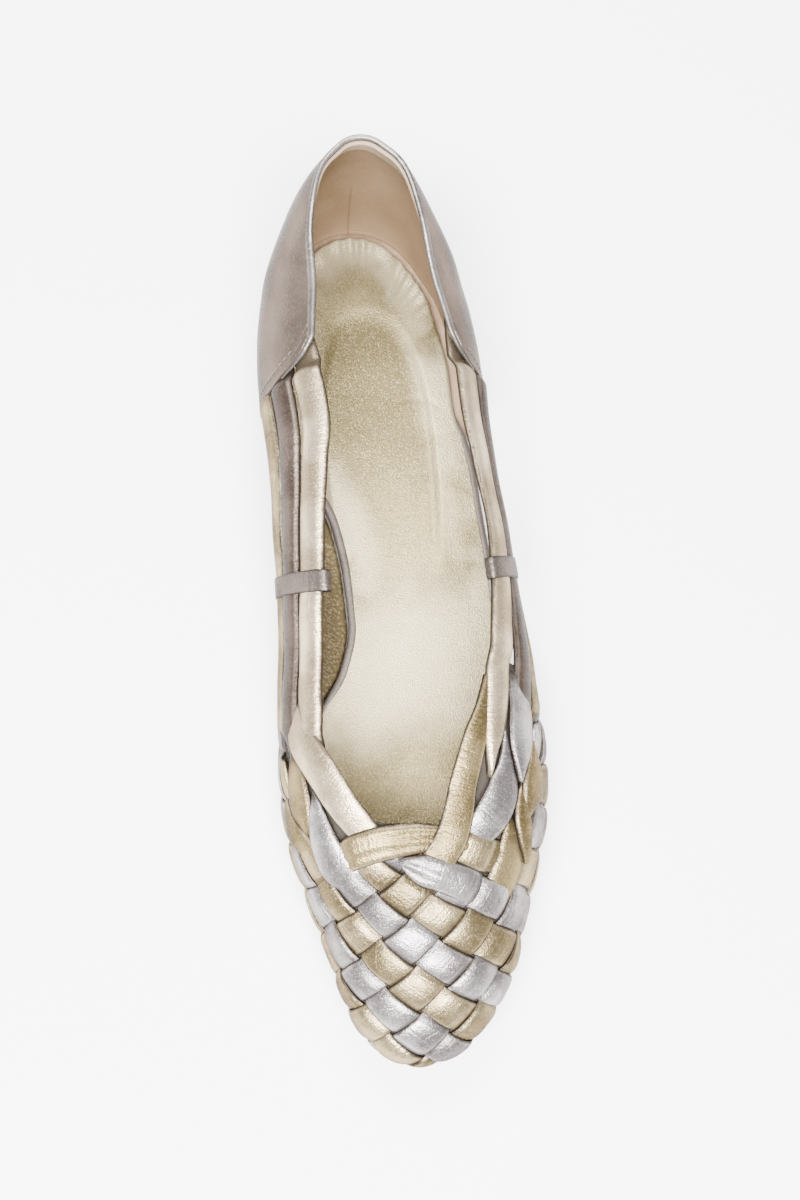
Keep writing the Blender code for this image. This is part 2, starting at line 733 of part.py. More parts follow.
def make_facing():
    """Leather facing of the open inner arch, bent in under the foot to the edge of the sole."""
    s = steps(FACING_START, FACING_END, FACING_STEP)
    top = lasted(unroll(MEDIAL, s, lower_edge_girth(MEDIAL, s) + FACING_DROP))
    edge = sole_edge(MEDIAL, s, -FACING_SOLE_GAP, SOLE_HEEL_END, SOLE_TOE_END)
    foot = np.column_stack((edge, last("underside", s) + FACING_SOLE_LIFT))
    corner = np.column_stack((top[:, 0] + FACING_TURN, top[:, 1], foot[:, 2]))
    f = np.linspace(0.0, 1.0, FACING_LEVELS)[:, None, None]
    points = top * (1.0 - f) ** 2 + 2.0 * corner * f * (1.0 - f) + foot * f * f
    count = len(s)
    faces = [
        (a * count + k, (a + 1) * count + k, (a + 1) * count + k + 1, a * count + k + 1)
        for a in range(FACING_LEVELS - 1)
        for k in range(count - 1)
    ]
    piece = add_piece("arch_facing", new_mesh("arch_facing", points.reshape(-1, 3), faces), "gold_sock")
    thicken(piece, FACING_WALL)
    return piece


def face_outwards(mesh):
    """Turn the faces of a closed mesh outwards."""
    work = bmesh.new()
    work.from_mesh(mesh)
    bmesh.ops.recalc_face_normals(work, faces=work.faces)
    work.to_mesh(mesh)
    work.free()


def sole_edge(side, stations, inset, heel_end, toe_end):
    """Edge of the sole in plan, moved in by an inset."""
    s = np.asarray(stations, dtype=float)
    half = by_side(SOLE_ROWS, SOLE_COLUMNS, side, s) - inset
    x = last("centre", s) + side * half * end_closure(s, heel_end, toe_end)
    return np.stack((x, LENGTH / 2.0 - s), axis=-1)


def plan_stations(heel_end, toe_end):
    """Stations along a sole edge, close together at its round ends."""
    heel_turn = steps(0.0, 1.0, TURN_STEP)
    heel = heel_end + (HEEL_POLE - heel_end) * heel_turn ** 2
    toe_turn = steps(1.0, 0.0, TURN_STEP)
    toe = toe_end - (toe_end - TOE_POLE) * toe_turn ** 2
    return np.concatenate((heel, steps(HEEL_POLE, TOE_POLE, EDGE_STEP)[1:-1], toe))


def make_plate(name, base, thickness, ledge_share, heel_end, toe_end, material):
    """Plate with the sole's plan, its top following the underside of the foot."""
    s = plan_stations(heel_end, toe_end)
    inset = column(SOLE_ROWS, SOLE_COLUMNS, "ledge", s) * ledge_share
    medial = sole_edge(MEDIAL, s, inset, heel_end, toe_end)
    lateral = sole_edge(LATERAL, s, inset, heel_end, toe_end)
    outline = np.concatenate((medial, lateral[-2:0:-1]))
    rows = steps(heel_end + PLATE_MARGIN, toe_end - PLATE_MARGIN, EDGE_STEP)
    inner = np.stack(np.meshgrid(PLATE_ACROSS, LENGTH / 2.0 - rows), axis=-1).reshape(-1, 2)
    flat, faces = cut_sheet(outline, [], inner)
    top = last("underside", LENGTH / 2.0 - flat[:, 1]) + base + thickness
    piece = add_piece(name, new_mesh(name, np.column_stack((flat, top)), faces), material)
    thicken(piece, thickness)
    return piece


def heel_ring(inset):
    """Closed outline of the heel in plan, with its straight breast."""
    heel_end = SOLE_HEEL_END + inset
    turn = np.linspace(0.0, 1.0, HEEL_POINTS)
    s = heel_end + (HEEL_BREAST - heel_end) * turn ** 2
    medial = sole_edge(MEDIAL, s, inset, heel_end, SOLE_TOE_END)
    lateral = sole_edge(LATERAL, s, inset, heel_end, SOLE_TOE_END)
    return np.concatenate((medial, lateral[-1:0:-1]))


def make_loft(name, rings, heights, material):
    """Solid through like rings at rising heights, with flat ends."""
    count = len(rings[0])
    points = np.concatenate([
        np.column_stack((ring, np.full(count, height))) for ring, height in zip(rings, heights)
    ])
    faces = [
        (level * count + k, level * count + (k + 1) % count,
         (level + 1) * count + (k + 1) % count, (level + 1) * count + k)
        for level in range(len(rings) - 1)
        for k in range(count)
    ]
    faces.append(tuple(range(count)))
    faces.append(tuple(range((len(rings) - 1) * count, len(rings) * count)))
    mesh = new_mesh(name, points, faces)
    face_outwards(mesh)
    return add_piece(name, mesh, material)


def make_heel():
    """Low block heel under the seat, and the lift that it stands on."""
    seat = last("underside", 0.0)
    foot = LIFT_THICKNESS + GAP
    rise = np.linspace(0.0, 1.0, HEEL_LEVELS)
    taper = HEEL_FOOT_INSET + (HEEL_TOP_INSET - HEEL_FOOT_INSET) * rise
    insets = taper + HEEL_WAISTING * np.sin(math.pi * rise)
    heights = foot + (seat - GAP - foot) * rise
    make_loft("heel_block", [heel_ring(i) for i in insets], heights, "heel_cover")
    lift = heel_ring(HEEL_FOOT_INSET)
    make_loft("heel_lift", [lift, lift], (0.0, LIFT_THICKNESS), "heel_rubber")


def main():
    """Clear the scene and build the shoe."""
    for leftover in list(bpy.data.objects):
        bpy.data.objects.remove(leftover)
    shoe = bpy.data.collections.new(OBJECT_NAME)
    bpy.context.scene.collection.children.link(shoe)
    make_plate("outsole", 0.0, SOLE_THICKNESS, 0.0, SOLE_HEEL_END, SOLE_TOE_END, "sole_leather")
    make_heel()
    insole_margin = SOLE_ROWS[0][SOLE_COLUMNS.index("ledge")]
    make_plate(
        "insole", FEATHER_LIFT, INSOLE_THICKNESS, 1.0,
        SOLE_HEEL_END + insole_margin, SOLE_TOE_END - insole_margin, "gold_sock",
    )
    make_upper()
    make_counter()
    make_binding()
    make_keeper("strap_keeper_medial", MEDIAL)
    make_keeper("strap_keeper_lateral", LATERAL)
    make_facing()


main()
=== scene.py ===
import math

import bmesh
import bpy
import numpy as np
from mathutils import Matrix, Vector


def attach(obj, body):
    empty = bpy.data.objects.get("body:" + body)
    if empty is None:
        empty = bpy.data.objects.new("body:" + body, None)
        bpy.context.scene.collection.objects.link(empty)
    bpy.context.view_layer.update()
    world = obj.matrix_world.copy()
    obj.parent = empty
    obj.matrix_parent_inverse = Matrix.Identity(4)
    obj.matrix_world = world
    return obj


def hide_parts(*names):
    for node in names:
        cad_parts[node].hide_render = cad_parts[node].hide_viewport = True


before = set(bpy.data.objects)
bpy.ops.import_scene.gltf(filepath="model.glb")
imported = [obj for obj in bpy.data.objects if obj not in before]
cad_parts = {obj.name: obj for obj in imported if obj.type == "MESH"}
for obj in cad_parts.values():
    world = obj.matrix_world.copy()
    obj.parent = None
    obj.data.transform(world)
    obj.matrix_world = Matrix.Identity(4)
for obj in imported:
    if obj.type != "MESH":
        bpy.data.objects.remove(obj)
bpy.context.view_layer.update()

# Heel lift: a thin slab of black rubber cut to the foot of the heel and tacked under it.
# Its wall is the heel's plan ring carried up over two rounded edges, and caps close it.
# Lengths are in millimetres. A station is the distance from the back of the heel.
MM = 0.001
LENGTH = 250.0
HEEL_POLE = 32.0
TOE_POLE = 224.0
HEEL_ROUNDNESS = 2.1
TOE_ROUNDNESS = 2.05
GAP = 0.3
SOLE_THICKNESS = 3.0
SOLE_HEEL_END = 2.5
SOLE_TOE_END = 248.3
LAST_COLUMNS = ("station", "centre", "half_width", "underside", "bulge", "crown")
LAST_ROWS = (
    (0, -1.7, 25.2, 17.5, 15.0, 102.8),
    (2, -1.7, 25.2, 17.5, 15.0, 95.9),
    (6, -1.7, 25.3, 17.5, 15.0, 92.0),
    (15, -1.7, 25.6, 17.5, 15.0, 84.2),
    (32, -1.7, 29.2, 17.5, 14.5, 72.6),
    (46, -1.7, 31.7, 17.5, 14.0, 67.1),
    (60, -1.5, 32.7, 15.3, 14.0, 65.7),
    (80, -0.9, 32.4, 11.3, 14.0, 62.8),
    (100, -0.1, 32.8, 7.2, 14.0, 60.0),
    (120, 0.6, 33.8, 3.7, 14.0, 57.0),
    (140, 0.7, 35.3, 1.2, 13.5, 53.5),
    (158, 0.3, 36.8, 0.0, 12.5, 49.5),
    (172, 0.0, 37.5, 0.0, 11.5, 45.5),
    (188, -0.5, 36.0, 0.0, 10.5, 40.5),
    (203, -1.2, 31.9, 0.0, 9.5, 36.0),
    (214, -1.7, 28.3, 0.3, 8.7, 32.6),
    (224, -2.2, 25.3, 1.0, 8.0, 29.7),
    (237, -3.8, 22.6, 2.9, 7.0, 26.5),
    (250, -5.7, 21.6, 5.5, 6.0, 24.0),
)
SOLE_COLUMNS = ("station", "medial", "lateral", "ledge")
SOLE_ROWS = (
    (0, 22.6, 22.6, 3.8),
    (15, 23.0, 23.0, 3.8),
    (32, 26.4, 26.4, 3.8),
    (56, 29.5, 29.5, 3.8),
    (65, 28.8, 29.5, 3.8),
    (74, 24.8, 29.6, 1.6),
    (84, 19.6, 29.8, 0.6),
    (97, 15.2, 30.2, 0.6),
    (110, 13.9, 30.7, 0.6),
    (125, 13.8, 30.9, 0.6),
    (139, 17.6, 31.4, 0.6),
    (149, 25.0, 33.0, 1.6),
    (157, 32.0, 34.6, 3.8),
    (171, 35.1, 35.4, 3.8),
    (188, 33.8, 33.8, 3.8),
    (203, 29.8, 29.8, 3.8),
    (214, 26.2, 26.2, 3.8),
    (224, 23.3, 23.3, 3.8),
    (237, 20.6, 20.6, 3.8),
    (250, 19.6, 19.6, 3.8),
)
HEEL_BREAST = 45.0
HEEL_FOOT_INSET = 3.6
HEEL_CORNER = 2.0
HEEL_POINTS = 160
LIFT_THICKNESS = 3.0
LIFT_EDGE = 0.4
WELD_DISTANCE = 1e-6
SLIVER_LENGTH = 1e-7


def read(rows, columns, name, at):
    """One column of a table by its first column: a cubic through the rows, level where they turn."""
    table = np.array(rows, dtype=float)
    place = table[:, 0]
    value = table[:, columns.index(name)]
    slope = np.diff(value) / np.diff(place)
    same_way = slope[1:] * slope[:-1] > 0.0
    both = np.where(same_way, slope[1:] + slope[:-1], 1.0)
    inner = np.where(same_way, 2.0 * slope[1:] * slope[:-1] / both, 0.0)
    tangent = np.concatenate((slope[:1], inner, slope[-1:]))
    s = np.clip(np.asarray(at, dtype=float), place[0], place[-1])
    k = np.clip(np.searchsorted(place, s) - 1, 0, len(place) - 2)
    span = place[k + 1] - place[k]
    f = (s - place[k]) / span
    return (
        value[k] * (1.0 + 2.0 * f) * (1.0 - f) ** 2
        + value[k + 1] * f * f * (3.0 - 2.0 * f)
        + tangent[k] * span * f * (1.0 - f) ** 2
        - tangent[k + 1] * span * f * f * (1.0 - f)
    )


def last(name, stations):
    """One column of the last's own table."""
    return read(LAST_ROWS, LAST_COLUMNS, name, stations)


def by_side(rows, columns, side, stations):
    """The medial column where the side is negative, the lateral one elsewhere."""
    medial = read(rows, columns, "medial", stations)
    return np.where(np.asarray(side) < 0.0, medial, read(rows, columns, "lateral", stations))


def end_closure(stations, heel_end, toe_end):
    """Share of the half width: a superellipse from each pole to its end of the shoe."""
    heel = np.clip((HEEL_POLE - stations) / (HEEL_POLE - heel_end), 0.0, 1.0)
    toe = np.clip((stations - TOE_POLE) / (toe_end - TOE_POLE), 0.0, 1.0)
    heel_share = (1.0 - heel ** HEEL_ROUNDNESS) ** (1.0 / HEEL_ROUNDNESS)
    return heel_share * (1.0 - toe ** TOE_ROUNDNESS) ** (1.0 / TOE_ROUNDNESS)


def sole_edge(side, stations, inset, heel_end, toe_end):
    """Plan of the sole's edge: centre line plus side times half width, less an inset."""
    half = by_side(SOLE_ROWS, SOLE_COLUMNS, side, stations) - inset
    return last("centre", stations) + side * half * end_closure(stations, heel_end, toe_end)


def heel_ring(inset):
    """Plan ring of the heel: the sole's edge back from the breast, with rounded breast corners."""
    turn = np.linspace(-1.0, 1.0, HEEL_POINTS)
    side = np.where(turn < 0.0, -1.0, 1.0)
    heel_end = SOLE_HEEL_END + inset
    s = heel_end + (HEEL_BREAST - heel_end) * (1.0 - np.cos(math.pi * np.abs(turn))) / 2.0
    over = np.clip(s - HEEL_BREAST + HEEL_CORNER, 0.0, HEEL_CORNER)
    corner = HEEL_CORNER - np.sqrt(HEEL_CORNER ** 2 - over ** 2)
    x = sole_edge(side, s, inset, heel_end, SOLE_TOE_END) - side * corner
    return np.stack((x, LENGTH / 2.0 - s), axis=-1)


def closed_ends(rings):
    """Rings with one more at each end, drawn in to the middle of its neighbour."""
    first = np.broadcast_to(rings[0].mean(axis=0), rings[0].shape)
    final = np.broadcast_to(rings[-1].mean(axis=0), rings[0].shape)
    return np.concatenate((first[None], rings, final[None]))


def heel_loft(insets, heights):
    """Rings of the heel's plan, one for each inset and height, with closed ends."""
    levels = zip(insets, heights)
    return closed_ends(np.stack([
        np.column_stack((heel_ring(inset), np.full(HEEL_POINTS, height))) for inset, height in levels
    ]))


def add_piece(name, grids, material, nodes=(), uvs=None, sunk_shade=None):
    """One object from grids of points: four neighbours make a face, and each row closes on itself."""
    points, faces, places, start = [], [], [], 0
    for number, grid in enumerate(grids):
        rows, columns = grid.shape[:2]
        index = np.arange(rows * columns).reshape(rows, columns) + start
        beside = np.roll(index, -1, axis=1)
        corners = np.stack((index[:-1], beside[:-1], beside[1:], index[1:]), axis=-1)
        faces.append(corners.reshape(-1, 4))
        points.append(grid.reshape(-1, 3))
        places.append(np.zeros((rows * columns, 2)) if uvs is None else uvs[number].reshape(-1, 2))
        start += rows * columns
    mesh = bpy.data.meshes.new(name)
    mesh.from_pydata((np.concatenate(points) * MM).tolist(), [], np.concatenate(faces).tolist())
    if uvs is not None:
        corner = np.empty(len(mesh.loops), dtype=np.int32)
        mesh.loops.foreach_get("vertex_index", corner)
        layer = mesh.uv_layers.new(name="along_across")
        layer.data.foreach_set("uv", np.concatenate(places)[corner].astype(np.float32).ravel())
    # Per-point share of painted shade, kept as an attribute for the materials.
    if sunk_shade is not None:
        depth = mesh.attributes.new("sunk_shade", "FLOAT", "POINT")
        depths = np.concatenate([part.ravel() for part in sunk_shade])
        depth.data.foreach_set("value", depths.astype(np.float32))
    work = bmesh.new()
    work.from_mesh(mesh)
    bmesh.ops.remove_doubles(work, verts=work.verts, dist=WELD_DISTANCE)
    bmesh.ops.dissolve_degenerate(work, edges=work.edges, dist=SLIVER_LENGTH)
    bmesh.ops.recalc_face_normals(work, faces=work.faces)
    work.to_mesh(mesh)
    work.free()
    mesh.shade_smooth()
    mesh.materials.append(material)
    piece = bpy.data.objects.new(name, mesh)
    bpy.context.scene.collection.objects.link(piece)
    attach(piece, "root")
    if nodes:
        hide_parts(*nodes)


FOIL_EDGE = (0.2, 0.17, 0.15, 1.0)


def new_material(name, metallic=0.0):
    """Node material with its tree and Principled shader. A metal foil gets a dim tint at its edges."""
    material = bpy.data.materials.new(name)
    material.use_nodes = True
    shader = material.node_tree.nodes["Principled BSDF"]
    shader.inputs["Metallic"].default_value = metallic
    if metallic:
        shader.inputs["Specular Tint"].default_value = FOIL_EDGE
    return material, material.node_tree, shader


def node(tree, kind, values=None, **settings):
    """Add a node with its settings and the values of its named or numbered inputs."""
    made = tree.nodes.new(kind)
    for key, value in settings.items():
        setattr(made, key, value)
    for key, value in (values or {}).items():
        made.inputs[key].default_value = value
    return made


def bump(tree, shader, height, distance):
    """Bump node from a height to the shader's normal."""
    made = node(tree, "ShaderNodeBump", {"Strength": 1.0, "Distance": distance * MM})
    tree.links.new(height, made.inputs["Height"])
    tree.links.new(made.outputs["Normal"], shader.inputs["Normal"])


def ramp(tree, source, low, high):
    """0 up to the low value, 1 from the high value, smooth between."""
    made = node(tree, "ShaderNodeMapRange", {1: low, 2: high}, interpolation_type="SMOOTHSTEP")
    tree.links.new(source, made.inputs[0])
    return made.outputs[0]


def mixed(tree, share, first, second):
    """Colour between two colours or sockets by a share."""
    made = node(tree, "ShaderNodeMix", data_type="RGBA")
    for value, place in ((share, 0), (first, 6), (second, 7)):
        if isinstance(value, bpy.types.NodeSocket):
            tree.links.new(value, made.inputs[place])
        else:
            made.inputs[place].default_value = value if place == 0 else (*value, 1.0)
    return made.outputs[2]


def sums(tree, operation, first, second):
    """One arithmetic step on two sockets or numbers."""
    made = node(tree, "ShaderNodeMath", operation=operation)
    for value, place in ((first, 0), (second, 1)):
        if isinstance(value, bpy.types.NodeSocket):
            tree.links.new(value, made.inputs[place])
        else:
            made.inputs[place].default_value = value
    return made.outputs[0]


def scaled(tree, source, factor, offset=0.0):
    """A value times a factor, plus an offset."""
    made = node(tree, "ShaderNodeMath", {1: factor, 2: offset}, operation="MULTIPLY_ADD")
    tree.links.new(source, made.inputs[0])
    return made.outputs[0]


def object_place(tree):
    """Texture coordinates in the object's own space."""
    return node(tree, "ShaderNodeTexCoord").outputs["Object"]


def noise(tree, where, scale, detail, **values):
    """Soft noise over a vector, about 0 to 1."""
    made = node(tree, "ShaderNodeTexNoise", {"Scale": scale, "Detail": detail, **values})
    tree.links.new(where, made.inputs["Vector"])
    return made.outputs["Fac"]


def rubber_material():
    """Black rubber, dusty grey in patches, with a fine moulded grain."""
    material, tree, shader = new_material("worn_black_rubber")
    where = object_place(tree)
    patch = ramp(tree, noise(tree, where, 70.0, 5.0), 0.42, 0.68)
    tone = mixed(tree, patch, (0.028, 0.026, 0.025), (0.085, 0.078, 0.07))
    tree.links.new(tone, shader.inputs["Base Color"])
    tree.links.new(scaled(tree, patch, 0.2, 0.62), shader.inputs["Roughness"])
    bump(tree, shader, noise(tree, where, 1800.0, 2.0), 0.12)
    return material


lift_turn = np.linspace(0.0, math.pi / 2.0, 5)
lift_insets = HEEL_FOOT_INSET + LIFT_EDGE * np.concatenate((
    1.0 - np.sin(lift_turn),
    1.0 - np.cos(lift_turn),
))
lift_heights = np.concatenate((
    LIFT_EDGE * (1.0 - np.cos(lift_turn)),
    LIFT_THICKNESS - LIFT_EDGE + LIFT_EDGE * np.sin(lift_turn),
))
lift_grid = heel_loft(lift_insets, lift_heights)
add_piece("heel_top_piece", [lift_grid], rubber_material(), ["heel_lift"])

# Heel block: a low stacked core wrapped in pewter leather, glued and nailed to the seat of
# the sole. The plan ring draws in a little half way up, and its edges are turned.
HEEL_TOP_INSET = 1.2
HEEL_WAISTING = 0.8
HEEL_EDGE = 0.5


def leather_group():
    """Foil-finished leather: tone patches, pebbled grain, fine creases darkened with painted shade,
    and a painted highlight on the pebble tops.

    Patches are soft noise, pebbles are the distance to a cell's middle, creases are where a
    second noise crosses its mean and darken the colour as painted shade, and the painted
    highlight is brightest on the tops of the pebbles.
    """
    group = bpy.data.node_groups.new("foil_leather", "ShaderNodeTree")
    face = group.interface
    face.new_socket("Vector", in_out="INPUT", socket_type="NodeSocketVector")
    for name in ("Colour", "Shade", "Shine"):
        face.new_socket(name, in_out="INPUT", socket_type="NodeSocketColor")
    for name in ("Grain Scale", "Patch Scale", "Crease Scale", "Crease Depth", "Roughness"):
        face.new_socket(name, in_out="INPUT", socket_type="NodeSocketFloat")
    face.new_socket("Colour", in_out="OUTPUT", socket_type="NodeSocketColor")
    for name in ("Roughness", "Height"):
        face.new_socket(name, in_out="OUTPUT", socket_type="NodeSocketFloat")
    given = group.nodes.new("NodeGroupInput").outputs
    taken = group.nodes.new("NodeGroupOutput").inputs
    link = group.links.new
    patch = node(group, "ShaderNodeTexNoise", {"Detail": 4.0, "Roughness": 0.55})
    pebble = node(group, "ShaderNodeTexVoronoi", {"Randomness": 0.9})
    fine = node(group, "ShaderNodeTexNoise", {"Detail": 3.0, "Roughness": 0.6})
    crease = node(group, "ShaderNodeTexNoise", {"Detail": 2.0, "Distortion": 0.6})
    scales = (
        (patch, "Patch Scale"), (pebble, "Grain Scale"), (fine, "Grain Scale"), (crease, "Crease Scale"),
    )
    for made, name in scales:
        link(given["Vector"], made.inputs["Vector"])
        link(given[name], made.inputs["Scale"])
    pebble_top = ramp(group, pebble.outputs["Distance"], 0.75, 0.05)
    folds = sums(group, "ABSOLUTE", sums(group, "SUBTRACT", crease.outputs["Fac"], 0.5), 0.0)
    folds = ramp(group, folds, 0.035, 0.0)
    folds = sums(group, "MULTIPLY", folds, given["Crease Depth"])
    patches = ramp(group, patch.outputs["Fac"], 0.38, 0.66)
    toned = mixed(group, patches, given["Shade"], given["Colour"])
    # Painted highlight: the Shine colour on the tops of the pebbles.
    pebble_glint = sums(group, "MULTIPLY", pebble_top, ramp(group, fine.outputs["Fac"], 0.42, 0.72))
    toned = mixed(group, scaled(group, pebble_glint, 0.3), toned, given["Shine"])
    # Painted shade: the colour darkens towards Shade along the crease lines.
    link(mixed(group, scaled(group, folds, 0.35), toned, given["Shade"]), taken["Colour"])
    rough = scaled(group, patch.outputs["Fac"], -0.16, 0.08)
    rough = sums(group, "ADD", rough, scaled(group, fine.outputs["Fac"], 0.12, -0.06))
    link(sums(group, "ADD", rough, given["Roughness"]), taken["Roughness"])
    grain = scaled(group, fine.outputs["Fac"], 0.5)
    height = sums(group, "ADD", scaled(group, pebble_top, 0.5), grain)
    link(sums(group, "SUBTRACT", height, scaled(group, folds, 1.6)), taken["Height"])
    return group


foil_leather = leather_group()


def leather_material(name, tones, metallic, roughness, grain=1100.0, patch=55.0,
                     crease=60.0, crease_depth=0.4, relief=0.09):
    """Material with the foil leather group wired to colour, roughness and bump. Also its tree,
    shader and group node, for what a piece adds."""
    material, tree, shader = new_material(name, metallic)
    skin = node(tree, "ShaderNodeGroup", node_tree=foil_leather)
    for key, value in zip(("Colour", "Shade", "Shine"), tones):
        skin.inputs[key].default_value = (*value, 1.0)
    for key, value in (("Grain Scale", grain), ("Patch Scale", patch), ("Crease Scale", crease),
                       ("Crease Depth", crease_depth), ("Roughness", roughness)):
        skin.inputs[key].default_value = value
    tree.links.new(object_place(tree), skin.inputs["Vector"])
    tree.links.new(skin.outputs["Colour"], shader.inputs["Base Color"])
    tree.links.new(skin.outputs["Roughness"], shader.inputs["Roughness"])
    bump(tree, shader, skin.outputs["Height"], relief)
    return material, tree, shader, skin


PEWTER = ((0.135, 0.106, 0.087), (0.075, 0.057, 0.046), (0.24, 0.20, 0.172))
heel_rise = np.linspace(0.0, 1.0, 25)
heel_foot = LIFT_THICKNESS + GAP
heel_seat = last("underside", 0.0) - GAP
heel_insets = HEEL_FOOT_INSET + (HEEL_TOP_INSET - HEEL_FOOT_INSET) * heel_rise
heel_insets = heel_insets + HEEL_WAISTING * np.sin(math.pi * heel_rise)
heel_heights = heel_foot + (heel_seat - heel_foot) * heel_rise
heel_turned = np.minimum(heel_heights - heel_foot, heel_seat - heel_heights)
heel_insets = heel_insets + HEEL_EDGE * (1.0 - np.clip(heel_turned / HEEL_EDGE, 0.0, 1.0)) ** 2
heel_grid = heel_loft(heel_insets, heel_heights)
pewter_cover = leather_material(
    "pewter_heel_cover", PEWTER, metallic=0.55, roughness=0.42, relief=0.07)[0]
add_piece("heel_cover", [heel_grid], pewter_cover, ["heel_block"])

# Outsole: one brown leather plate from heel to toe, cut in at the inner waist, its edge
# rounded and inked dark. Rings run in from its plan edge to the line between the two poles.
SOLE_EDGE = 0.9
EDGE_STEPS = 11


def plan_rim(heel_end, toe_end, ledge_share, count=480):
    """Plan edge as a closed ring, up the inner side and down the outer, and the line it closes on."""
    turn = np.linspace(0.0, 2.0, count, endpoint=False)
    side = np.where(turn < 1.0, -1.0, 1.0)
    s = heel_end + (toe_end - heel_end) * (1.0 - np.cos(math.pi * turn)) / 2.0
    inset = read(SOLE_ROWS, SOLE_COLUMNS, "ledge", s) * ledge_share
    pole = np.clip(s, HEEL_POLE, TOE_POLE)
    rim = np.stack((sole_edge(side, s, inset, heel_end, toe_end), s), axis=-1)
    return rim, np.stack((last("centre", pole), pole), axis=-1)


def unit(vectors):
    """The same directions with a length of one."""
    return vectors / np.maximum(np.linalg.norm(vectors, axis=-1, keepdims=True), 1e-9)


def plate_grid(rim, spine, insets, shares, rises):
    """Rings of a plate: each moves in from the rim by an inset and a share of the way to the spine."""
    way = (spine - rim)[None]
    inset = unit(way) * np.asarray(insets)[:, None, None]
    plan = rim[None] + inset + (way - inset) * np.asarray(shares)[:, None, None]
    z = last("underside", plan[..., 1]) + np.asarray(rises)[:, None]
    return np.stack((plan[..., 0], LENGTH / 2.0 - plan[..., 1], z), axis=-1)


def plate_profile(thickness, edge, inner=14):
    """Section of a plate: underside from the spine out, round the edge, and back over the top."""
    turn = np.linspace(-math.pi / 2.0, math.pi / 2.0, EDGE_STEPS)
    inset = edge * (1.0 - np.cos(turn))
    rise = thickness / 2.0 + (thickness / 2.0 - edge) * np.sign(turn) + edge * np.sin(turn)
    rise[len(turn) // 2] = thickness / 2.0
    share = np.linspace(1.0, 0.0, inner, endpoint=False)
    flat = np.full(inner, edge)
    insets = np.concatenate((flat, inset, flat))
    shares = np.concatenate((share, np.zeros(len(turn)), share[::-1]))
    rises = np.concatenate((np.zeros(inner), rise, np.full(inner, thickness)))
    return insets, shares, rises


def sole_material():
    """Brown sole leather: fibre mottling, scuffs along the shoe, darker ink on the upright edge."""
    material, tree, shader = new_material("brown_sole_leather")
    coords = object_place(tree)
    stretch = node(tree, "ShaderNodeMapping", {"Scale": (1.0, 0.16, 1.0)})
    tree.links.new(coords, stretch.inputs["Vector"])
    scuff = noise(tree, stretch.outputs["Vector"], 260.0, 6.0, Roughness=0.7)
    mottle = ramp(tree, noise(tree, coords, 45.0, 4.0), 0.36, 0.66)
    tone = mixed(tree, mottle, (0.19, 0.115, 0.066), (0.30, 0.20, 0.125))
    scuffed = scaled(tree, ramp(tree, scuff, 0.52, 0.72), 0.6)
    tone = mixed(tree, scuffed, tone, (0.40, 0.31, 0.22))
    upright = node(tree, "ShaderNodeSeparateXYZ")
    tree.links.new(node(tree, "ShaderNodeNewGeometry").outputs["Normal"], upright.inputs[0])
    edge = ramp(tree, sums(tree, "ABSOLUTE", upright.outputs["Z"], 0.0), 0.8, 0.35)
    tree.links.new(mixed(tree, edge, tone, (0.10, 0.085, 0.075)), shader.inputs["Base Color"])
    tree.links.new(scaled(tree, scuff, 0.3, 0.42), shader.inputs["Roughness"])
    bump(tree, shader, scuff, 0.12)
    return material


sole_rim, sole_spine = plan_rim(SOLE_HEEL_END, SOLE_TOE_END, 0.0)
sole_grid = plate_grid(sole_rim, sole_spine, *plate_profile(SOLE_THICKNESS, SOLE_EDGE))
add_piece("leather_outsole", [sole_grid], sole_material(), ["outsole"])

# Insole: a gold leather sock over a thin pad, pressed into a heel bed by the foot, gathered
# in small pleats round the back and creased across the ball. It lies on the sole inside the
# upper. Rings run in from its rim, and a relief is added to their upper side.
FEATHER_LIFT = SOLE_THICKNESS + GAP
INSOLE_THICKNESS = 2.7
INSOLE_EDGE = 1.0
BED_MIDDLE = (0.5, 80.0)
BED_REACH = (16.5, 47.0)
BED_POWER = 2.4
BED_DEPTH = 1.3
BED_SOFTNESS = 0.22
BED_FRONT = 132.0
BED_FADE = 50.0
# Painted shade in the hollow of the heel bed: its soft edge, and where and how it fades out towards the
# front.
BED_SHADE_SOFTNESS = 0.12
BED_SHADE_FRONT = 120.0
BED_SHADE_FADE = 60.0
PLEAT_POLE = HEEL_POLE + 14.0
PLEAT_FRONT = HEEL_POLE + 8.0
PLEAT_FADE = 16.0
PLEAT_DEPTH = 0.55
PLEAT_REACH = 13.0
PLEATS_A_TURN = 44.0
PLEAT_SWAY = (1.7, 9.0)
PLEAT_SWELL = (0.3, 13.0)
RIM_RISE = 0.9
RIM_WIDTH = 6.0
CREASE_DEPTH = 0.28
CREASE_WIDTH = 0.9
CREASE_RUNOUT = 1.4
SOCK_CREASES = (  # middle, station, reach, bend
    (-6.0, 171.0, 17.0, 0.012),
    (9.0, 166.5, 13.0, 0.02),
    (12.0, 60.0, 9.0, 0.05),
)
SOCK_UPPER = 0.6
SOCK_RINGS = 56
SOCK_POINTS = 640
SOCK_GOLD = ((0.20, 0.160, 0.080), (0.11, 0.086, 0.040), (0.42, 0.355, 0.22))
# Colour of the painted shade in the heel bed.
SOCK_BED_SHADE = (0.085, 0.066, 0.030)
SOCK_DARK = (0.045, 0.033, 0.012)
SOCK_PIT = (0.06, 0.046, 0.02)
# Colours of the painted glints and of the painted highlight over the arch and rim.
SOCK_GLINT = (0.40, 0.335, 0.20)
SOCK_HIGHLIGHT = (0.40, 0.34, 0.215)


def smooth(value):
    """Ease from 0 to 1: three times the square less twice the cube."""
    f = np.clip(value, 0.0, 1.0)
    return f * f * (3.0 - 2.0 * f)


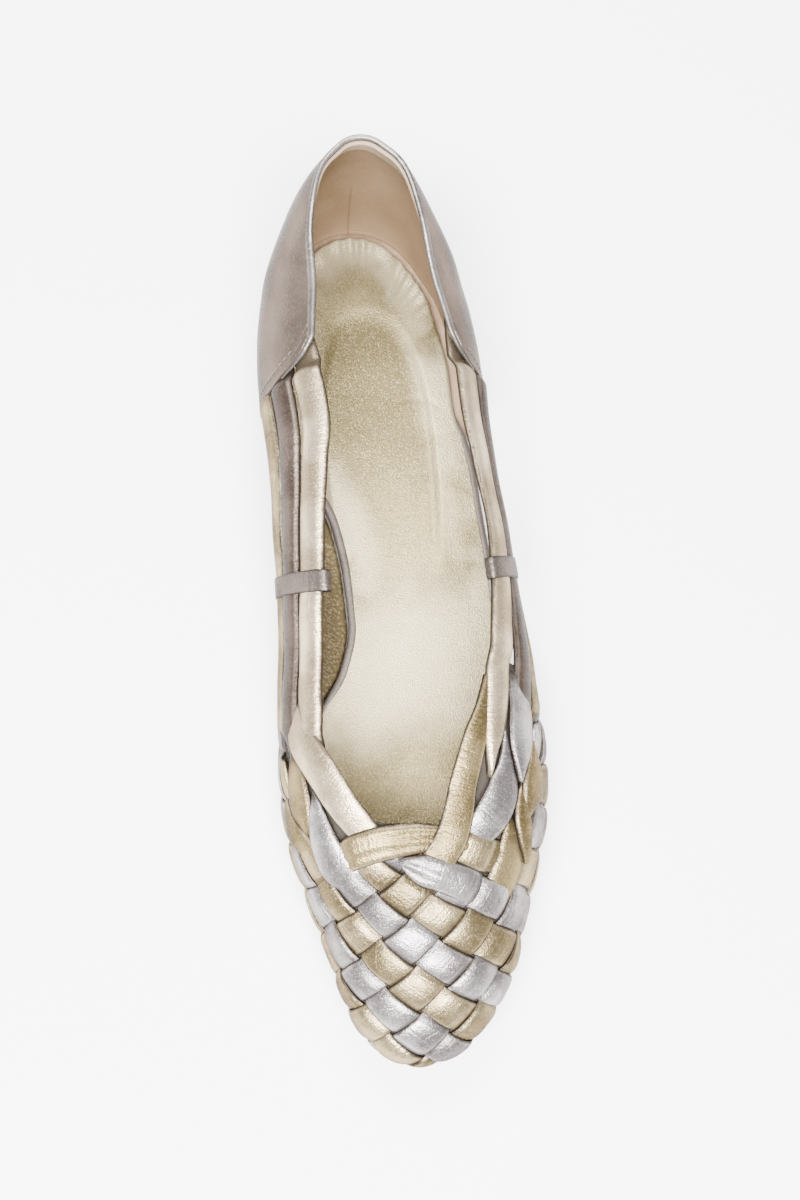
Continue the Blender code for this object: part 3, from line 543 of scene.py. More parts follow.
def heel_bed(x, s, soft):
    """Share of the bed's full depth: a superellipse with a soft edge, running out to the arch."""
    across = np.abs(x - BED_MIDDLE[0]) / BED_REACH[0]
    along = np.abs(s - BED_MIDDLE[1]) / BED_REACH[1]
    bed = across ** BED_POWER + along ** BED_POWER
    return smooth((1.0 + soft - bed) / (2.0 * soft)) * smooth((BED_FRONT - s) / BED_FADE)


def sock_relief(x, s, from_rim):
    """The heel bed pressed down, pleats as waves of the angle round the heel's pole, an
    upturned back rim, and creases as narrow troughs along parabolas across the foot."""
    relief = -BED_DEPTH * heel_bed(x, s, BED_SOFTNESS)
    angle = np.arctan2(x - last("centre", s), PLEAT_POLE - s)
    at_back = smooth((PLEAT_FRONT - s) / PLEAT_FADE) * smooth((PLEAT_REACH - from_rim) / PLEAT_REACH)
    wave = np.cos(PLEATS_A_TURN * angle + PLEAT_SWAY[0] * np.sin(PLEAT_SWAY[1] * angle))
    swell = PLEAT_SWELL[0] * np.sin(PLEAT_SWELL[1] * angle + 1.0)
    wave = wave * (1.0 - PLEAT_SWELL[0] + swell)
    upturn = RIM_RISE * smooth((RIM_WIDTH - from_rim) / RIM_WIDTH)
    relief = relief + at_back * (PLEAT_DEPTH * wave + upturn)
    for middle, station, reach, bend in SOCK_CREASES:
        off = s - station - bend * (x - middle) ** 2
        trough = CREASE_DEPTH * np.exp(-(off / CREASE_WIDTH) ** 2)
        relief = relief - trough * smooth(CREASE_RUNOUT - np.abs(x - middle) / reach)
    return relief


def uv_place(tree):
    """The piece's own flat places: the vector, and its two parts along and across."""
    place = node(tree, "ShaderNodeUVMap", uv_map="along_across").outputs[0]
    split = node(tree, "ShaderNodeSeparateXYZ")
    tree.links.new(place, split.inputs[0])
    return place, split.outputs[0], split.outputs[1]


def sock_material():
    """Gold foil leather: strong dark pebble in the heel bed, painted shade in the bed's hollow,
    painted glints, and a painted highlight over the arch and rim.
    """
    material, tree, shader, skin = leather_material(
        "gold_sock_leather", SOCK_GOLD, metallic=0.5, roughness=0.34, grain=2200.0, patch=38.0,
        crease=30.0, crease_depth=0.0, relief=0.14)
    along, from_rim = uv_place(tree)[1:]
    where = object_place(tree)
    cloud = noise(tree, where, 60.0, 5.0)
    along = sums(tree, "ADD", along, scaled(tree, cloud, 0.08, -0.04))
    # Painted highlight: the arch and a band along the rim are mixed towards a pale gold.
    arch = sums(tree, "MULTIPLY", ramp(tree, along, 0.42, 0.52), ramp(tree, along, 0.68, 0.59))
    rim = sums(tree, "MULTIPLY", ramp(tree, from_rim, 0.15, 0.04), ramp(tree, cloud, 0.32, 0.55))
    rubbed = sums(tree, "MAXIMUM", scaled(tree, arch, 0.62), scaled(tree, rim, 0.75))
    pebble = node(tree, "ShaderNodeTexVoronoi", {"Scale": 760.0})
    tree.links.new(where, pebble.inputs["Vector"])
    pits = ramp(tree, pebble.outputs["Distance"], 0.3, 0.65)
    dark = sums(tree, "MULTIPLY", pits, ramp(tree, along, 0.2, 0.12))
    dark = sums(tree, "MULTIPLY", dark, ramp(tree, cloud, 0.5, 0.6))
    # Painted shade: the hollow of the heel bed is darkened by its per-point share.
    bed = node(tree, "ShaderNodeAttribute", attribute_name="sunk_shade").outputs["Fac"]
    tone = mixed(tree, scaled(tree, bed, 0.8), skin.outputs["Colour"], SOCK_BED_SHADE)
    tone = mixed(tree, scaled(tree, dark, 0.5), tone, SOCK_DARK)
    # Painted glints: fine specks mixed towards a pale gold; the darker specks are grain.
    speck = noise(tree, where, 1500.0, 2.0)
    glint = scaled(tree, ramp(tree, speck, 0.5, 0.75), 0.3)
    pit = scaled(tree, ramp(tree, speck, 0.5, 0.32), 0.3)
    tone = mixed(tree, glint, mixed(tree, pit, tone, SOCK_PIT), SOCK_GLINT)
    tree.links.new(mixed(tree, rubbed, tone, SOCK_HIGHLIGHT), shader.inputs["Base Color"])
    return material


insole_heel_end = SOLE_HEEL_END + SOLE_ROWS[0][3]
insole_toe_end = SOLE_TOE_END - SOLE_ROWS[0][3]
sock_rim, sock_spine = plan_rim(insole_heel_end, insole_toe_end, 1.0, SOCK_POINTS)
sock_insets, sock_shares, sock_rises = plate_profile(INSOLE_THICKNESS, INSOLE_EDGE, SOCK_RINGS)
sock_grid = plate_grid(sock_rim, sock_spine, sock_insets, sock_shares, sock_rises + FEATHER_LIFT)
sock_width = np.linalg.norm(sock_spine - sock_rim, axis=1)
sock_inset = sock_insets[:, None]
sock_from_rim = sock_inset + sock_shares[:, None] * (sock_width - sock_inset)
sock_station = LENGTH / 2.0 - sock_grid[..., 1]
sock_rise = sock_rises[:, None] / INSOLE_THICKNESS
sock_upper = smooth((sock_rise - SOCK_UPPER) / (1.0 - SOCK_UPPER))
sock_grid[..., 2] += sock_upper * sock_relief(sock_grid[..., 0], sock_station, sock_from_rim)
sock_uv = np.stack((sock_station / LENGTH, sock_from_rim / 100.0), axis=-1)
# Share of painted shade in the hollow of the heel bed, kept per point.
sock_bed_shade = heel_bed(sock_grid[..., 0], sock_station, BED_SHADE_SOFTNESS)
sock_bed_shade = sock_bed_shade * smooth((BED_SHADE_FRONT - sock_station) / BED_SHADE_FADE)
add_piece("gold_sock", [sock_grid], sock_material(), ["insole"],
          uvs=[sock_uv], sunk_shade=[sock_bed_shade])

# Sock binding: a taupe leather tape turned over the edge of the insole where the open waist
# shows it. A flattened round section is carried along each side of the rim.
BINDING_STATIONS = (60.0, 160.0)
SOCK_TAPE = (1.25, 1.55)
TAPE_INSET = 0.3
TAPE_LIFT = 1.5
TAPE_TAPER = 18.0
TAPE_END = 0.25
TAUPE = ((0.13, 0.11, 0.095), (0.08, 0.066, 0.056), (0.28, 0.25, 0.225))


def carried(path, outward_way, upward_way, section):
    """A closed section carried along a path: each ring is the path plus its outward and upward
    parts, and the ends are closed."""
    return closed_ends(
        path[:, None, :]
        + outward_way[:, None, :] * section[None, :, 0, None]
        + upward_way[:, None, :] * section[None, :, 1, None]
    )


def signed_power(value, power):
    """A power of the size that keeps the sign."""
    return np.sign(value) * np.abs(value) ** power


def oval(across, up, power=0.75, count=18):
    """Superellipse section: powers of the cosine and sine, times the two half sizes."""
    turn = np.linspace(0.0, 2.0 * math.pi, count, endpoint=False)
    c, s = np.cos(turn), np.sin(turn)
    return np.stack((across * signed_power(c, power), up * signed_power(s, power)), axis=-1)


tape_grids = []
for tape_side in (-1.0, 1.0):
    tape_s = np.linspace(*BINDING_STATIONS, 150)
    tape_inset = read(SOLE_ROWS, SOLE_COLUMNS, "ledge", tape_s) + TAPE_INSET
    tape_x = sole_edge(tape_side, tape_s, tape_inset, insole_heel_end, insole_toe_end)
    tape_z = last("underside", tape_s) + FEATHER_LIFT + TAPE_LIFT
    tape_path = np.stack((tape_x, LENGTH / 2.0 - tape_s, tape_z), axis=-1)
    tape_up = np.broadcast_to((0.0, 0.0, 1.0), tape_path.shape)
    tape_out = unit(np.cross(np.gradient(tape_path, axis=0), tape_up))
    tape_from_end = np.minimum(tape_s - tape_s[0], tape_s[-1] - tape_s)[:, None]
    tape_thin = TAPE_END + (1.0 - TAPE_END) * smooth(tape_from_end / TAPE_TAPER)
    tape_grids.append(carried(tape_path, tape_out * tape_thin, tape_up * tape_thin, oval(*SOCK_TAPE)))
taupe_tape = leather_material(
    "taupe_sock_tape", TAUPE, metallic=0.4, roughness=0.45, grain=1400.0, relief=0.06)[0]
add_piece("sock_binding", tape_grids, taupe_tape)

# Heel counter: smooth pewter leather lasted round the heel, its front edge folded to a bead
# and stitched. The outer surface follows the last by rise and turn, and closes on itself
# through the thickness of the leather.
FEATHER_INSET = 3.0
COUNTER_WALL = 2.0
COUNTER_SKIN = 1.1
BEAD_WIDTH = 1.7
BEAD_HEIGHT = 0.3
STITCH_INSET = 3.0
COLLAR_COLUMNS = ("station", "medial", "lateral")
COLLAR_ROWS = (
    (0, 75.9, 75.9),
    (6, 75.0, 75.0),
    (15, 72.5, 72.3),
    (30, 67.0, 66.0),
    (45, 62.5, 60.2),
    (57, 60.5, 57.2),
)
FRONT_COLUMNS = ("rise", "front")
FRONT_ROWS = (
    (0.0, 63.5),
    (0.35, 66.0),
    (0.62, 65.6),
    (0.82, 63.6),
    (0.93, 61.0),
    (1.0, 57.0),
)
PROFILE_STEPS = np.linspace(0.0, 2.0, 81)
COUNTER_ROWS = 70
COUNTER_COLUMNS = 281
FAR = 1000.0
HEEL_MIDDLE = (0.0, LENGTH / 2.0 - HEEL_POLE, 40.0)
BEAD_FALL = 0.6
GROOVE_DEPTH = 0.14
GROOVE_WIDTH = 0.45
DENT_SLANT = 18.0
COUNTER_DENTS = (  # side, station, rise, width, height, depth
    (-1.0, 47.0, 0.80, 2.2, 0.10, 0.35),
    (-1.0, 53.0, 0.72, 1.6, 0.12, 0.25),
    (1.0, 40.0, 0.70, 3.0, 0.14, 0.22),
)


def last_surface(side, stations, profile):
    """Points of the last: profile 0 at the feather line, 1 at the bulge and 2 at the crown.
    Below the bulge a quarter wave widens from the inset foot; above it the wall is a quarter
    ellipse from the bulge in to the line between the poles."""
    side, s, t = np.broadcast_arrays(side, np.asarray(stations, float), profile)
    pole = np.clip(s, HEEL_POLE, TOE_POLE)
    pole_x = last("centre", pole)
    reach_x = last("centre", s) + side * last("half_width", s) * end_closure(s, 0.0, LENGTH) - pole_x
    reach_s = s - pole
    inset = 1.0 - FEATHER_INSET / np.hypot(reach_x, reach_s)
    low = np.clip(t, 0.0, 1.0) * math.pi / 2.0
    high = np.clip(t - 1.0, 0.0, 1.0) * math.pi / 2.0
    r = np.where(t < 1.0, inset + (1.0 - inset) * np.sin(low), np.cos(high))
    station = pole + r * reach_s
    foot = last("underside", s) + FEATHER_LIFT
    bulge = last("bulge", s)
    crown = last("crown", np.where(s < HEEL_POLE, s, station))
    z_high = foot + bulge + (crown - foot - bulge) * np.sin(high)
    z = np.where(t < 1.0, foot + bulge * (1.0 - np.cos(low)), z_high)
    return np.stack((pole_x + r * reach_x, LENGTH / 2.0 - station, z), axis=-1)


def rowwise(at, rows, values):
    """Read each row's values at that row's own places: the rows are set far apart on one line."""
    apart = FAR * np.arange(len(rows))[:, None]
    return np.interp((at + apart).ravel(), (rows + apart).ravel(), values.ravel()).reshape(at.shape)


def counter_points(rise, turn):
    """Points by rise, 0 at the sole and 1 at the collar, and turn, -1 to 1 round the heel: the
    station is the front edge's times the turn squared, and the height runs from foot to collar."""
    side = np.where(turn < 0.0, -1.0, 1.0)
    s = read(FRONT_ROWS, FRONT_COLUMNS, "front", rise) * turn ** 2
    foot = last("underside", s) + FEATHER_LIFT
    height = foot + rise * (by_side(COLLAR_ROWS, COLLAR_COLUMNS, side, s) - foot)
    walls = last_surface(side.reshape(-1, 1), s.reshape(-1, 1), PROFILE_STEPS[None, :])[..., 2]
    steps = np.broadcast_to(PROFILE_STEPS, walls.shape)
    profile = rowwise(height.reshape(-1, 1), walls, steps).reshape(s.shape)
    return last_surface(side, s, profile)


def grid_normals(points):
    """Unit normals of a grid, square to its two directions."""
    return unit(np.cross(np.gradient(points, axis=0), np.gradient(points, axis=1)))


def outward(normal, points):
    """Normals turned to point away from the middle of the heel."""
    return normal * np.sign((normal * (points - HEEL_MIDDLE)).sum(axis=-1, keepdims=True))


def shell(outer, inner):
    """Closed loops up the outer grid and down the inner, the first and last drawn to their middle."""
    loop = np.concatenate((outer, inner[::-1]), axis=0).transpose(1, 0, 2)
    middle = (outer + inner) / 2.0
    ends = np.concatenate((middle, middle[::-1]), axis=0).transpose(1, 0, 2)
    return np.concatenate((ends[:1], loop, ends[-1:]))


def crowded(places, pull):
    """Places from -1 to 1 moved towards both ends by a cubic."""
    return places * (1.0 + pull - pull * places ** 2)


counter_turns = crowded(np.linspace(-1.0, 1.0, COUNTER_COLUMNS), 0.5)
counter_rise, counter_turn = np.meshgrid(
    np.linspace(0.0, 1.0, COUNTER_ROWS), counter_turns, indexing="ij")
counter_face = counter_points(counter_rise, counter_turn)
counter_normal = outward(grid_normals(counter_face), counter_face)
counter_front = read(FRONT_ROWS, FRONT_COLUMNS, "front", counter_rise)
counter_station = counter_front * counter_turn ** 2
counter_edge = counter_front - counter_station
counter_bead = smooth((counter_edge - BEAD_WIDTH + BEAD_FALL / 2.0) / BEAD_FALL)
counter_lift = BEAD_HEIGHT * (1.0 - counter_bead)
counter_groove = np.exp(-((counter_edge - STITCH_INSET) / GROOVE_WIDTH) ** 2)
counter_lift = counter_lift - GROOVE_DEPTH * counter_groove
for dent_side, dent_s, dent_rise, dent_wide, dent_tall, dent_depth in COUNTER_DENTS:
    dent_up = counter_rise - dent_rise
    dent_off = (counter_station - dent_s - DENT_SLANT * dent_up) / dent_wide
    dent = np.exp(-dent_off ** 2 - (dent_up / dent_tall) ** 2)
    counter_lift = counter_lift - dent_depth * dent * (counter_turn * dent_side > 0.0)
counter_outer = counter_face + counter_normal * counter_lift[..., None]
counter_grid = shell(counter_outer, counter_face - counter_normal * COUNTER_SKIN)
pewter_leather = leather_material(
    "pewter_counter_leather", PEWTER, metallic=0.7, roughness=0.34, grain=1300.0, patch=26.0,
    crease=24.0, crease_depth=0.25, relief=0.07)[0]
add_piece("counter_leather", [counter_grid], pewter_leather, ["heel_counter"])

# Counter lining: soft beige leather glued inside the counter, with an upright seam at the
# back and a paler band of facing under the collar. It is the inner half of the counter's wall.
LINING_TURN = 0.992
LINING_TOP = 0.99
LINING_CLEARANCE = 0.02
LINING_TONES = ((0.125, 0.078, 0.040), (0.165, 0.106, 0.058))
SEAM_DEPTH = 0.12
SEAM_WIDTH = 0.5
SEAM_TONE = (0.07, 0.041, 0.02)
BAND_START = 0.89
BAND_EDGE = 0.02
BAND_DEPTH = 0.25
BAND_DROP = 0.09
BAND_REACH = 18.0
BAND_TONE = (0.27, 0.20, 0.135)
lining_rise, lining_turn = np.meshgrid(
    np.linspace(0.0, LINING_TOP, COUNTER_ROWS), counter_turns * LINING_TURN, indexing="ij")
lining_face = counter_points(lining_rise, lining_turn)
lining_normal = outward(grid_normals(lining_face), lining_face)
lining_across = lining_face[..., 0] - last("centre", 0.0)
lining_band = lining_rise + BAND_DROP * smooth(lining_across / BAND_REACH)
lining_depth = COUNTER_WALL - SEAM_DEPTH * np.exp(-(lining_across / SEAM_WIDTH) ** 2)
lining_depth = lining_depth + BAND_DEPTH * smooth((lining_band - BAND_START) / BAND_EDGE)
lining_inner = lining_face - lining_normal * lining_depth[..., None]
lining_outer = lining_face - lining_normal * (COUNTER_SKIN + LINING_CLEARANCE)


def lining_material():
    """Beige lining leather: warm mottling, fine pores, the facing band paler and the seam dark."""
    material, tree, shader = new_material("beige_lining_leather")
    where = object_place(tree)
    mottle = noise(tree, where, 40.0, 5.0)
    pores = node(tree, "ShaderNodeTexVoronoi", {"Scale": 1500.0})
    tree.links.new(where, pores.inputs["Vector"])
    across, rise = uv_place(tree)[1:]
    tone = mixed(tree, ramp(tree, mottle, 0.35, 0.65), *LINING_TONES)
    tone = mixed(tree, ramp(tree, rise, BAND_START - 0.008, BAND_START + 0.008), tone, BAND_TONE)
    from_seam = sums(tree, "ABSOLUTE", across, 0.0)
    seam = sums(tree, "MULTIPLY", ramp(tree, from_seam, 0.6, 0.1), ramp(tree, rise, 0.55, 0.3))
    from_band = sums(tree, "ABSOLUTE", sums(tree, "SUBTRACT", rise, BAND_START), 0.0)
    fold = scaled(tree, ramp(tree, from_band, 0.007, 0.002), 0.4)
    seam = sums(tree, "MAXIMUM", scaled(tree, seam, 0.5), fold)
    tree.links.new(mixed(tree, seam, tone, SEAM_TONE), shader.inputs["Base Color"])
    tree.links.new(scaled(tree, mottle, 0.2, 0.6), shader.inputs["Roughness"])
    shader.inputs["Specular IOR Level"].default_value = 0.25
    bump(tree, shader, pores.outputs["Distance"], 0.06)
    return material


lining_uv = np.stack((lining_across, lining_band), axis=-1)
lining_uv = np.concatenate((lining_uv, lining_uv[::-1]), axis=0).transpose(1, 0, 2)
lining_uv = np.concatenate((lining_uv[:1], lining_uv, lining_uv[-1:]))
lining_grid = shell(lining_outer, lining_inner)
add_piece("counter_lining", [lining_grid], lining_material(), uvs=[lining_uv])

# Collar binding: a narrow silver leather tape folded over the top edge of the counter and a
# little way down its front edges, rubbed dark here and there. A flattened section rides along
# that edge, thinning out at both ends.
BINDING_SECTION = (0.8, 1.1)
BINDING_INSET = 0.6
BINDING_LIFT = 0.25
BINDING_DOWN = 0.76
BINDING_TAPER = 18.0
BINDING_END = 0.35
BINDING_COUNT = 420
BINDING_STEP = 0.01
BINDING_BACK = 0.985
BINDING_EASE = np.hanning(15)[1:-1] / np.hanning(15).sum()
SILVER = ((0.17, 0.152, 0.142), (0.090, 0.079, 0.072), (0.42, 0.395, 0.375))
SCUFF_TONE = (0.07, 0.065, 0.06)


def run_length(points):
    """Length along a line of points, from its start."""
    return np.concatenate(([0.0], np.cumsum(np.linalg.norm(np.diff(points, axis=0), axis=1))))


def read_along(at, run, values):
    """Each column of the values at lengths along a run."""
    return np.stack([np.interp(at, run, part) for part in values.T], axis=-1)


binding_climb = np.linspace(BINDING_DOWN, 1.0, 80)
binding_round = crowded(np.linspace(-1.0, 1.0, 402)[1:-1], 0.2)
binding_rise = np.concatenate((binding_climb, np.ones_like(binding_round), binding_climb[::-1]))
binding_side = np.ones_like(binding_climb)
binding_turn = np.concatenate((-binding_side, binding_round, binding_side))
binding_edge = counter_points(binding_rise, binding_turn)
binding_back = counter_points(BINDING_BACK * binding_rise, BINDING_BACK * binding_turn)
binding_away = binding_edge - binding_back
binding_ahead = counter_points(binding_rise, np.minimum(binding_turn + BINDING_STEP, 1.0))
binding_behind = counter_points(binding_rise, np.maximum(binding_turn - BINDING_STEP, -1.0))
binding_above = counter_points(np.minimum(binding_rise + BINDING_STEP, 1.0), binding_turn)
binding_below = counter_points(binding_rise - BINDING_STEP, binding_turn)
binding_normal = np.cross(binding_ahead - binding_behind, binding_above - binding_below)
binding_normal = outward(binding_normal, binding_edge)
binding_run = run_length(binding_edge)
binding_at = np.linspace(0.0, binding_run[-1], BINDING_COUNT)


def along_binding(values):
    """Values at even lengths along the edge, each the weighted mean of its neighbours."""
    margin = len(BINDING_EASE) // 2
    even = read_along(binding_at, binding_run, values)
    padded = np.pad(even, ((margin, margin), (0, 0)), mode="edge")
    return np.stack([np.convolve(part, BINDING_EASE, mode="valid") for part in padded.T], axis=-1)


binding_edge, binding_away = along_binding(binding_edge), along_binding(binding_away)
binding_normal = unit(along_binding(binding_normal))
binding_up = unit(np.cross(np.gradient(binding_edge, axis=0), binding_normal))
binding_up = binding_up * np.sign((binding_up * binding_away).sum(axis=1, keepdims=True))
binding_path = binding_edge + binding_up * BINDING_LIFT - binding_normal * BINDING_INSET
binding_from_end = np.minimum(binding_at, binding_at[::-1])[:, None]
binding_thin = BINDING_END + (1.0 - BINDING_END) * smooth(binding_from_end / BINDING_TAPER)


def binding_material():
    """Silver foil tape, with rubbed dark scuffs on the outer side and back of the collar."""
    material, tree, shader, skin = leather_material(
        "silver_collar_tape", SILVER, metallic=0.7, roughness=0.34, grain=1500.0, relief=0.05)
    turn = uv_place(tree)[1]
    spots = ramp(tree, noise(tree, object_place(tree), 190.0, 4.0, Roughness=0.65), 0.56, 0.64)
    window = sums(tree, "MULTIPLY", ramp(tree, turn, -0.2, 0.0), ramp(tree, turn, 0.9, 0.7))
    scuff = sums(tree, "MULTIPLY", spots, window)
    scuffed = mixed(tree, scuff, skin.outputs["Colour"], SCUFF_TONE)
    tree.links.new(scuffed, shader.inputs["Base Color"])
    return material


binding_grid = carried(binding_path, binding_normal * binding_thin, binding_up * binding_thin,
                       oval(*BINDING_SECTION, power=0.85, count=20))
binding_uv = np.zeros((*binding_grid.shape[:2], 2))
binding_uv[1:-1, :, 0] = np.interp(binding_at, binding_run, binding_turn)[:, None]
add_piece("collar_tape", [binding_grid], binding_material(), ["collar_binding"],
          uvs=[binding_uv])

# Front-edge stitching: waxed thread along the folded front edges of the counter, two and a
# bit millimetres a stitch. Each stitch is a small rounded bar laid in the groove.
STITCH_PITCH = 2.3
STITCH_LENGTH = 1.7
STITCH_RADIUS = 0.24
STITCH_AHEAD = 0.4
STITCH_BESIDE = 0.97
STITCH_RISES = (0.02, 0.93)


def stitch_bars(centre, along, up, length):
    """Ellipsoid bars, one at each centre, lying along their own directions."""
    along = unit(along)
    u, v = np.meshgrid(
        np.linspace(0.0, math.pi, 7), np.linspace(0.0, 2.0 * math.pi, 8, endpoint=False), indexing="ij")
    size = np.stack((
        -np.cos(u) * length / 2.0,
        np.sin(u) * np.cos(v) * STITCH_RADIUS,
        np.sin(u) * np.sin(v) * STITCH_RADIUS,
    ), axis=-1)
    basis = np.stack((along, np.cross(along, up), up), axis=1)
    return list(centre[:, None, None, :] + np.einsum("uvk,nkd->nuvd", size, basis))


def stitch_row(path, normal):
    """Bars along a path that is cut at even lengths."""
    run = run_length(path)
    middle = np.arange(STITCH_PITCH, run[-1] - STITCH_PITCH, STITCH_PITCH)
    centre = read_along(middle, run, path)
    ahead = read_along(middle + STITCH_AHEAD, run, path)
    return stitch_bars(centre, ahead - centre, read_along(middle, run, normal), STITCH_LENGTH)


def thread_material(name, dark, light):
    """Waxed thread with a fine twist."""
    material, tree, shader = new_material(name)
    twist = noise(tree, object_place(tree), 2600.0, 2.0)
    tree.links.new(mixed(tree, twist, dark, light), shader.inputs["Base Color"])
    tree.links.new(scaled(tree, twist, 0.2, 0.5), shader.inputs["Roughness"])
    bump(tree, shader, twist, 0.05)
    return material


stitch_grids = []
stitch_rise = np.linspace(*STITCH_RISES, 120)
stitch_front = read(FRONT_ROWS, FRONT_COLUMNS, "front", stitch_rise)
for stitch_side in (-1.0, 1.0):
    stitch_turn = stitch_side * np.sqrt((stitch_front - STITCH_INSET) / stitch_front)
    stitch_path = counter_points(stitch_rise, stitch_turn)
    stitch_beside = counter_points(stitch_rise, stitch_turn * STITCH_BESIDE)
    stitch_normal = unit(np.cross(np.gradient(stitch_path, axis=0), stitch_path - stitch_beside))
    stitch_normal = stitch_normal * np.sign(stitch_normal[:, :1] * stitch_side)
    stitch_grids += stitch_row(stitch_path, stitch_normal)
taupe_thread = thread_material("taupe_thread", (0.045, 0.036, 0.030), (0.10, 0.085, 0.072))
add_piece("counter_stitches", stitch_grids, taupe_thread)

# Side straps: three leather strips a side, turned in along their edges, sewn behind the
# counter and tucked under the weave in front. Each keeps its own distance from the opening's
# edge on the wall unrolled flat, where across is the girth from the crown and along the station.
STRAP_PITCH = 10.8
STRAP_HALF = 4.75
STRAP_MARGIN = 0.05
STRAP_STEP = 0.8
STRAP_THICKNESS = 1.5
STRAP_CROWN = 0.8
STRAP_LIFT = 0.35
STRAP_WAVES = ((0.12, 6.1, 2.0, 1.0), (0.08, 3.3, 1.0, 0.0))  # height, pace, number's and side's share
REAR_DIVE = 67.5
REAR_FADE = 5.0
REAR_DEPTH = 2.5
FRONT_FADE = 7.0
FRONT_DEPTH = 2.2
STRIP_EDGE_POWER = 7
STRIP_BACK = 0.96
STRIP_GRAIN = 1600.0
STRIP_RELIEF = 0.09
# Lift below which a strip gets painted shade, and the depth over which it reaches full.
SUNK_LEVEL = 0.25
SUNK_DEPTH = 1.0
GOLD = ((0.265, 0.209, 0.120), (0.10, 0.074, 0.036), (0.58, 0.50, 0.345))
# Tone of the pewter straps: partly the leather's own darker pewter, partly painted shade.
DARK_PEWTER_AND_SHADE = ((0.060, 0.044, 0.036), (0.032, 0.023, 0.018), (0.20, 0.162, 0.14))
CREAM = ((0.42, 0.342, 0.235), (0.20, 0.154, 0.098), (0.66, 0.57, 0.43))
PALE_EDGE = (0.34, 0.28, 0.19)
PEWTER_EDGE = (0.2, 0.17, 0.145)
# Colour of the painted shade at the very edges of the strips, in the gaps between them.
EDGE_GAP_SHADE = (0.022, 0.016, 0.012)
STRAP_FRONT_COLUMNS = ("station", "middle", "half")
INNER_FRONT = (
    (150, 33.3, 4.75),
    (156, 33.0, 4.4),
    (162, 33.4, 4.3),
    (168, 34.2, 4.3),
    (176, 36.0, 4.3),
)
OUTER_FRONT = (
    (142, 27.0, 4.75),
    (150, 24.0, 4.3),
    (159, 22.5, 4.1),
    (167, 20.7, 3.3),
    (173.5, 18.8, 1.5),
    (179, 18.0, 0.4),
)
CREAM_STRAPS = (  # side, number, start, end, dive, drawn front
    (-1.0, 0, 50.0, 174.0, 161.0, INNER_FRONT),
    (1.0, 0, 50.0, 179.0, 176.0, OUTER_FRONT),
)
PEWTER_STRAPS = ((-1.0, 1, 52.0, 166.0, 157.0), (1.0, 1, 52.0, 168.0, 160.0))
GOLD_STRAPS = ((-1.0, 2, 54.0, 164.0, 155.0), (1.0, 2, 54.0, 166.0, 158.0))
WALL_START = 40.0
WALL_STEP = 0.5
TOE_RAYS = 361
GIRTH_STEP = 0.5
GIRTH_END = 95.0
TOPLINE_COLUMNS = ("station", "medial", "lateral")
TOPLINE_ROWS = (
    (48, 20.9, 25.8),
    (58, 19.3, 24.9),
    (70, 16.9, 24.2),
    (80, 16.4, 24.4),
    (92, 19.0, 26.4),
    (106, 22.5, 28.6),
    (121, 25.2, 27.2),
    (135, 27.0, 24.4),
    (150, 28.6, 21.0),
    (160, 29.0, 18.0),
    (166, 28.4, 15.4),
    (172, 25.4, 12.4),
    (178, 21.0, 9.2),
    (184, 16.2, 6.4),
    (187, 12.2, 4.6),
    (188.4, 7.0, 2.5),
)


def toe_backs(angles):
    """Signed distance back from the tip at which rays from the toe's pole meet the outline."""
    turn = np.linspace(-1.0, 1.0, 801)
    back = np.sign(turn) * (LENGTH - TOE_POLE) * turn ** 2
    s = LENGTH - np.abs(back)
    half = last("half_width", s) * end_closure(s, 0.0, LENGTH)
    reach_x = last("centre", s) + np.where(turn < 0.0, -half, half) - last("centre", TOE_POLE)
    return np.interp(angles, np.arctan2(reach_x, s - TOE_POLE), back)


def wall_table():
    """Points of the wall by row and girth: rows go forward on the inner side, round the toe by
    angle and back on the outer side; girths are even lengths from the crown down to the foot."""
    sides = np.arange(WALL_START, TOE_POLE + WALL_STEP / 2.0, WALL_STEP)
    back = toe_backs(np.linspace(-math.pi / 2.0, math.pi / 2.0, TOE_RAYS)[1:-1])
    s = np.concatenate((sides, LENGTH - np.abs(back), sides[::-1]))
    ones = np.ones(len(sides))
    side = np.concatenate((-ones, np.where(back < 0.0, -1.0, 1.0), ones))
    points = last_surface(side[:, None], s[:, None], PROFILE_STEPS[None, ::-1])
    pieces = np.linalg.norm(np.diff(points, axis=1), axis=2)
    girth = np.concatenate((np.zeros((len(s), 1)), np.cumsum(pieces, axis=1)), axis=1)
    even = np.minimum(np.arange(0.0, GIRTH_END, GIRTH_STEP)[None, :], girth[:, -1:])
    table = np.stack([rowwise(even, girth, points[..., k]) for k in range(3)], axis=-1)
    return table, girth[:, -1]


wall_points, wall_foot = wall_table()
wall_sides = int(round((TOE_POLE - WALL_START) / WALL_STEP))


def wall_row(flat):
    """Row of the wall's table and girth of flat places. The toe opens like a fan about its pole."""
    across, ahead = flat[..., 0], flat[..., 1] - TOE_POLE
    ray = (np.arctan2(across, np.maximum(ahead, 0.0)) / math.pi + 0.5) * (TOE_RAYS - 1)
    behind = -ahead / WALL_STEP
    straight = np.where(across < 0.0, wall_sides - behind, wall_sides + TOE_RAYS - 1 + behind)
    girth = np.where(ahead > 0.0, np.hypot(across, ahead), np.abs(across))
    return np.where(ahead > 0.0, wall_sides + ray, straight), girth


